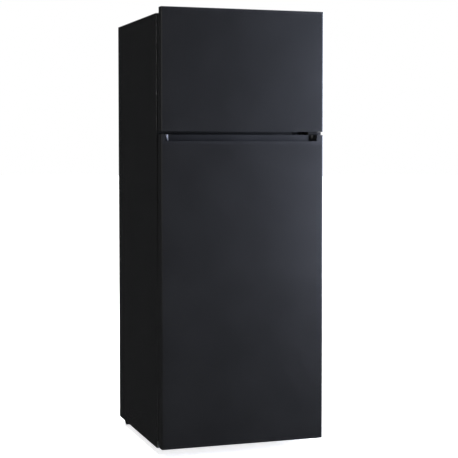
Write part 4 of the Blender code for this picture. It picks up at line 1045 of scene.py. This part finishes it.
def door_inside(door, plateau, dyke, dyke_reach):
    """A door's formed sheet, with a plateau and two dykes that run between the heights given."""
    node = f"{door}_door_liner"
    low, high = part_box(node)
    half = inner_side - 0.020
    skin_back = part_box(f"{door}_door_skin")[1].y
    raised = skin_back + 0.0225
    sheet = bmesh.new()
    block(sheet, (low.x, low.y, low.z), (high.x, skin_back, high.z))
    piece = made(f"{door}_door_inside", sheet, f"{door}_door", liner_white, (node,), 40)
    piece.modifiers.clear()
    middle = bmesh.new()
    block(middle, (-half, low.y - 0.012, plateau[0]), (half, raised, plateau[1]), 0.004, 4)
    hollowed(piece, middle, "UNION")
    for side in (-1, 1):
        sides = sorted((side * (half - 0.0002), side * (half - dyke_width)))
        dyke_low = (sides[0], raised - 0.020, dyke[0])
        dyke_high = (sides[1], skin_back + dyke_reach, dyke[1])
        wall_shape = bmesh.new()
        block(wall_shape, dyke_low, dyke_high, 0.0055, 4)
        hollowed(piece, wall_shape, "UNION")
    behind = bmesh.new()
    block(behind, (-1, low.y - 0.1, 0), (1, low.y, 2))
    hollowed(piece, behind)
    blacken_outside_seal(piece, door)
    piece.data.shade_smooth()
    piece.data.set_sharp_from_angle(angle=math.radians(40))
    piece.modifiers.new("flats", "WEIGHTED_NORMAL").keep_sharp = True


dyke_width = 0.015
freezer_plateau = (freezer_floor + 0.020, freezer_roof - 0.020)
fridge_plateau = (fridge_floor + 0.020, fridge_roof - 0.018)
door_inside("freezer", freezer_plateau, (freezer_floor + 0.030, freezer_roof - 0.030), 0.074)
door_inside("fridge", fridge_plateau, (fridge_floor + 0.032, fridge_roof - 0.075), 0.087)


# Door seals. A soft black profile with a folded bellows and a magnet strip in its face, mitred
# at the corners and pressed into a groove round the door's inside.
seal_width = 0.022
bellows = [
    (0.12, 0.00), (0.32, 0.00), (0.36, 0.10), (0.64, 0.10), (0.68, 0.00), (0.88, 0.00), (0.87, 0.16),
    (0.76, 0.26), (0.86, 0.40), (0.74, 0.52), (0.88, 0.64), (0.99, 0.72), (1.00, 0.94), (0.97, 1.00),
    (0.03, 1.00), (0.00, 0.94), (0.01, 0.72), (0.12, 0.64), (0.26, 0.52), (0.14, 0.40), (0.24, 0.26),
    (0.13, 0.16),
]
for door in ("freezer", "fridge"):
    low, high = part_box(f"{door}_door_gasket")
    ring = bmesh.new()
    corners = []
    for sx, sz in ((-1, -1), (1, -1), (1, 1), (-1, 1)):
        loop = []
        for across, deep in bellows:
            inset = across * seal_width
            x = (low.x + inset) if sx < 0 else (high.x - inset)
            z = (low.z + inset) if sz < 0 else (high.z - inset)
            loop.append(ring.verts.new((x, low.y + deep * (high.y - low.y), z)))
        corners.append(loop)
    skinned(ring, corners + corners[:1])
    node = f"{door}_door_gasket"
    made(f"{door}_door_seal", ring, f"{door}_door", rubber, (node,), 60)


# Ice tray and egg tray. Two loose accessories pressed from thin plastic: twelve ice pockets on
# the freezer shelf and twelve cups in the upper door bin.
def pressed_tray(name, low, high, pocket, material, body):
    """A thin sheet pressed down into pockets, with its rim turned down round the edge."""
    columns, rows, fine = 6, 2, 12
    sheet, skirt_depth = 0.0009, 0.006
    shape = bmesh.new()
    nx, ny = columns * fine, rows * fine
    grid = []
    for i in range(nx + 1):
        line = []
        for j in range(ny + 1):
            x = low[0] + (high[0] - low[0]) * i / nx
            y = low[1] + (high[1] - low[1]) * j / ny
            sunk = (high[2] - low[2] - 0.001) * pocket(i / fine % 1.0, j / fine % 1.0)
            line.append(shape.verts.new((x, y, high[2] - sunk)))
        grid.append(line)
    for i in range(nx):
        for j in range(ny):
            shape.faces.new((grid[i][j], grid[i + 1][j], grid[i + 1][j + 1], grid[i][j + 1]))
    rim = [e for e in shape.edges if e.is_boundary]
    skirt = bmesh.ops.extrude_edge_only(shape, edges=rim)["geom"]
    for vert in (g for g in skirt if isinstance(g, bmesh.types.BMVert)):
        vert.co.z -= skirt_depth
    piece = made(name, shape, body, material, (), 60)
    piece.modifiers.clear()
    thickness = piece.modifiers.new("wall", "SOLIDIFY")
    thickness.thickness = sheet
    thickness.offset = 0.0


def ice_pocket(u, v):
    """How deep an ice pocket is at a place in its cell: steep walls and a flat floor."""
    slope = min(u, 1 - u, v, 1 - v) / 0.22
    return 0.0 if slope < 0.25 else min(1.0, (slope - 0.25) / 0.75) ** 0.6


def egg_cup(u, v):
    """How deep an egg cup is at a place in its cell: a round bowl."""
    reach = math.hypot(u - 0.5, v - 0.5) / 0.44
    return 0.0 if reach > 1 else math.sqrt(1 - reach * reach * 0.98)


def blue_grey_plastic():
    material, tree, shader, place = surface("blue_grey_plastic", 0.38)
    drift = noise(tree, place, 30.0)
    between(tree, drift, (0.30, 0.42, 0.55), (0.36, 0.48, 0.60), shader.inputs["Base Color"])
    relief(tree, shader, noise(tree, place, 1200.0, 1.0), 0.08, 0.0001)
    return material


shelf_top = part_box("freezer_shelf")[1].z + 0.0006
ice_low, ice_high = (-0.130, -0.060, shelf_top), (0.110, 0.035, shelf_top + 0.034)
pressed_tray("ice_cube_tray", ice_low, ice_high, ice_pocket, blue_grey_plastic(), "cabinet")
bin_low, bin_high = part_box("upper_door_bin")
egg_floor = bin_low.z + 0.0042
egg_low = (-0.126, bin_low.y + 0.006, egg_floor)
egg_high = (0.126, bin_high.y - 0.006, egg_floor + 0.022)
pressed_tray("egg_tray", egg_low, egg_high, egg_cup, white_moulding, "fridge_door")


# Compressor. A deep-drawn steel can in two halves welded at the waist, enamelled black, on a
# pressed foot with four rubber grommets; its relay sits under a clipped cover.
def black_enamel():
    material, tree, shader, place = surface("black_enamel", 0.24, coat=0.4)
    runs = noise(tree, place, 24.0, 4.0)
    between(tree, runs, (0.010, 0.010, 0.011), (0.016, 0.016, 0.017), shader.inputs["Base Color"])
    between(tree, runs, 0.20, 0.34, shader.inputs["Roughness"])
    relief(tree, shader, noise(tree, place, 220.0, 3.0), 0.10, 0.0006)
    return material


enamel = black_enamel()
can_low, can_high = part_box("compressor")
can_x = (can_low.x + can_high.x) / 2
can_y = (can_low.y + can_high.y) / 2
can_radius = 0.066
dome_height = 0.040
seam_height = can_low.z + 0.085
profile = []
for step in range(13):
    angle = math.radians(7.5 * step)
    place = (can_radius * math.sin(angle), can_high.z - dome_height * (1 - math.cos(angle)))
    profile.append(place)
profile += [(can_radius + out, seam_height + up) for out, up in (
    (0, 0.006), (0.0022, 0.004), (0.0030, 0.001), (0.0022, -0.002), (-0.0008, -0.004),
)]
profile += [(can_radius * part, can_low.z + up) for part, up in (
    (0.99, 0.045), (0.96, 0.030), (0.90, 0.018), (0.80, 0.009), (0.62, 0.003), (0.30, 0.0012),
    (0, 0.0010),
)]
can = bmesh.new()
turned(can, profile, (can_x, can_y, 0), "Z", 72, oval=1.16)
made("compressor_can", can, "cabinet", enamel, ("compressor",), 50)
half_width, half_depth = 0.090, 0.050
foot_top = can_low.z + 0.003
foot_plate = bmesh.new()
foot_outline = round_cornered(
    can_x - half_width, can_y - half_depth, can_x + half_width, can_y + half_depth, 0.012
)
drawn(foot_plate, foot_outline, "Z", can_low.z + 0.0003, foot_top)
made("compressor_foot", foot_plate, "cabinet", enamel, (), 35, 0.0008, 3)
bolt_flange = [(0, 0.0014), (0.0058, 0.0012), (0.0062, 0), (0, 0)]
bolt_hexagon = [(0, 0.0052), (0.0036, 0.0052), (0.0043, 0.0046), (0.0043, 0.0010), (0, 0.0010)]
for count in range(1, 5):
    node = f"compressor_grommet_{count}"
    low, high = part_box(node)
    centre = Vector(((low.x + high.x) / 2, (low.y + high.y) / 2, low.z))
    tall = high.z - low.z
    grommet = bmesh.new()
    turned(grommet, [
        (0, tall), (0.0060, tall), (0.0070, tall - 0.0008), (0.0078, tall * 0.76), (0.0064, tall * 0.66),
        (0.0058, tall * 0.55), (0.0066, tall * 0.42), (0.0084, tall * 0.30), (0.0090, tall * 0.12),
        (0.0086, 0), (0, 0),
    ], centre, "Z", 36)
    made(f"grommet_{count}", grommet, "cabinet", rubber, (node,), 50)
    seat = (centre.x, centre.y, foot_top)
    bolt = bmesh.new()
    turned(bolt, bolt_flange, seat, "Z", 28)
    turned(bolt, bolt_hexagon, seat, "Z", 6)
    made(f"grommet_bolt_{count}", bolt, "cabinet", plated, (), 30, 0.0002, 2)
eased("relay_box", "relay_cover", moulding)
relay_low, relay_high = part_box("relay_box")
relay_half = (relay_high.y - relay_low.y) / 2
clip_y, clip_z = (relay_low.y + relay_high.y) / 2, (relay_low.z + relay_high.z) / 2
clip_half = (
    (relay_low.x - 0.002, relay_half + 0.0018), (relay_high.x - 0.004, relay_half + 0.0018),
    (relay_high.x - 0.001, relay_half + 0.0008), (relay_high.x + 0.0012, relay_half - 0.0030),
)
clip_path = [(x, clip_y - y, clip_z) for x, y in clip_half]
clip_path += [(x, clip_y + y, clip_z) for x, y in reversed(clip_half)]
clip = bmesh.new()
piped(clip, clip_path, 0.0009)
made("relay_clip", clip, "cabinet", plated)
eased("compressor_tray", "compressor_crossplate", zinc, 0.0004, 2)


# Drain. Melt water runs from the gutter behind the shelves through a short hose into a black
# pan on the warm compressor, where it dries up.
pan_low, pan_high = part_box("drain_pan")
pan = bmesh.new()
moulded_tray(pan, pan_low, pan_high, corner=0.014, draft=0.003)
made("evaporating_pan", pan, "cabinet", moulding, ("drain_pan",), 40)
eased("drain_hose", "melt_water_hose", white_moulding)


# Refrigerant circuit. Drawn copper tubes brazed to the compressor, the hidden condenser tube,
# the filter drier and the coiled capillary that feeds the evaporator.
def drawn_copper():
    material, tree, shader, place = surface("drawn_copper", 0.30, metallic=1.0)
    tarnish = noise(tree, place, 70.0, 5.0)
    between(tree, tarnish, (0.50, 0.24, 0.15), (0.80, 0.43, 0.28), shader.inputs["Base Color"])
    between(tree, tarnish, 0.42, 0.24, shader.inputs["Roughness"])
    return material


def brazing_alloy():
    material, tree, shader, place = surface("brazing_alloy", 0.38, metallic=1.0)
    scale = noise(tree, place, 400.0, 4.0)
    between(tree, scale, (0.42, 0.36, 0.28), (0.70, 0.62, 0.48), shader.inputs["Base Color"])
    relief(tree, shader, scale, 0.3, 0.0004)
    return material


copper = drawn_copper()
braze = brazing_alloy()
for node, name in (
    ("discharge_tube", "discharge_pipe"), ("suction_tube", "suction_pipe"),
    ("condenser_coil", "condenser_pipe"), ("filter_drier", "drier_can"),
):
    eased(node, name, copper, sharp=50)


drier_low, drier_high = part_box("filter_drier")
drier_x = (drier_low.x + drier_high.x) / 2
drier_y = (drier_low.y + drier_high.y) / 2
filler = [(0.0024, 0.0040), (0.0030, 0.0022), (0.0034, 0), (0.0030, -0.0022), (0.0024, -0.0040)]
joint = bmesh.new()
turned(joint, filler, (drier_x, drier_y, drier_high.z), "Z", 24, closed=True)
made("drier_joint", joint, "cabinet", braze, (), 60)
coil_radius, coil_turns, coil_pitch, around = 0.014, 4, 0.00312, 24
coil_centre = Vector((drier_x - 0.034, drier_y - 0.016, drier_low.z))
capillary = [
    Vector((drier_x, drier_y, drier_low.z + 0.003)),
    Vector((drier_x, drier_y - 0.001, drier_low.z - 0.006)),
    Vector((drier_x - 0.008, drier_y - 0.006, drier_low.z - 0.014)),
]
for step in range(coil_turns * around + 1):
    angle = -math.pi / 2 + 2 * math.pi * step / around
    x, z = coil_radius * math.cos(angle), coil_radius * math.sin(angle)
    capillary.append(coil_centre + Vector((x, -coil_pitch * step / around, z)))
capillary += [
    coil_centre + Vector((0.010, -0.014, -0.012)),
    coil_centre + Vector((0.016, -0.015, 0.010)),
    coil_centre + Vector((0.017, -0.016, 0.060)),
    Vector((coil_centre.x + 0.017, coil_centre.y - 0.016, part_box("base_plate")[1].z)),
]
wire = bmesh.new()
piped(wire, capillary, 0.0010, 8)
made("capillary_tube", wire, "cabinet", copper, (), 60)


# Stance. Two screw-in levelling feet in front and two hard rollers behind, each on a headed
# steel axle in the ears of the compressor's cross plate.
def ribs_around(shape, centre, axis, number, low, high):
    """Adds ribs evenly round an axis, each the block between two corners turned on that axis."""
    for rib in range(number):
        one = bmesh.new()
        block(one, low, high, 0.0004, 2)
        turn = Matrix.Rotation(2 * math.pi * rib / number, 3, axis)
        bmesh.ops.rotate(one, cent=(0, 0, 0), matrix=turn, verts=one.verts)
        bmesh.ops.translate(one, vec=centre, verts=one.verts)
        spare = bpy.data.meshes.new("rib")
        one.to_mesh(spare)
        one.free()
        shape.from_mesh(spare)
        bpy.data.meshes.remove(spare)


def hard_roller(side):
    """A moulded wheel with a grooved tread, a hollow web on both faces and six spokes."""
    node = f"{side}_rear_roller"
    low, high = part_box(node)
    centre = (low + high) / 2
    half = (high.x - low.x) / 2
    outer = (high.z - low.z) / 2
    bore, web = 0.0043, 0.0050
    profile = [
        (outer - 0.0020, half), (outer - 0.0005, half - 0.0006), (outer, half - 0.0020),
        (outer, 0.0012), (outer - 0.0008, 0.0006), (outer - 0.0008, -0.0006), (outer, -0.0012),
        (outer, 0.0020 - half), (outer - 0.0005, 0.0006 - half), (outer - 0.0020, -half),
        (outer - 0.0045, -half), (outer - 0.0055, web - half), (bore + 0.0045, web - half),
        (bore + 0.0035, -half), (bore, -half), (bore, half), (bore + 0.0035, half),
        (bore + 0.0045, half - web), (outer - 0.0055, half - web), (outer - 0.0045, half),
    ]
    wheel = bmesh.new()
    turned(wheel, profile, centre, "X", 56, closed=True)
    spoke_low = (0.0006 - half, bore + 0.0040, -0.0011)
    spoke_high = (half - 0.0006, outer - 0.0050, 0.0011)
    ribs_around(wheel, centre, "X", 6, spoke_low, spoke_high)
    made(f"{side}_hard_roller", wheel, f"{side}_roller", moulding, (node,), 35)


def levelling_foot(side):
    """A threaded stud with a ribbed collar to turn it by and a wide pad under it."""
    node = f"{side}_front_foot"
    low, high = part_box(node)
    middle = ((low.x + high.x) / 2, (low.y + high.y) / 2, low.z)
    turns, thread_end = 14, 0.0225
    profile = [(0, high.z), (0.0030, high.z)]
    for turn in range(turns):
        z = high.z - 0.0006 - (high.z - thread_end) * turn / turns
        profile += [(0.0040, z - 0.0004), (0.0033, z - 0.0010)]
    profile += [
        (0.0040, 0.0215), (0.0105, 0.0215), (0.0110, 0.0205), (0.0110, 0.0125), (0.0150, 0.0105),
        (0.0176, 0.0086), (0.0180, 0.0076), (0.0180, 0.0020), (0.0175, 0.0006), (0.0168, 0), (0, 0),
    ]
    foot = bmesh.new()
    turned(foot, profile, middle, "Z", 48)
    ribs_around(foot, middle, "Z", 12, (0.0100, -0.0009, 0.0122), (0.0120, 0.0009, 0.0212))
    made(f"{side}_levelling_foot", foot, f"{side}_foot", moulding, (node,), 35)


for side in ("left", "right"):
    hard_roller(side)
    eased(f"{side}_roller_axle", f"{side}_headed_axle", plated, 0.0002, 2)
    levelling_foot(side)
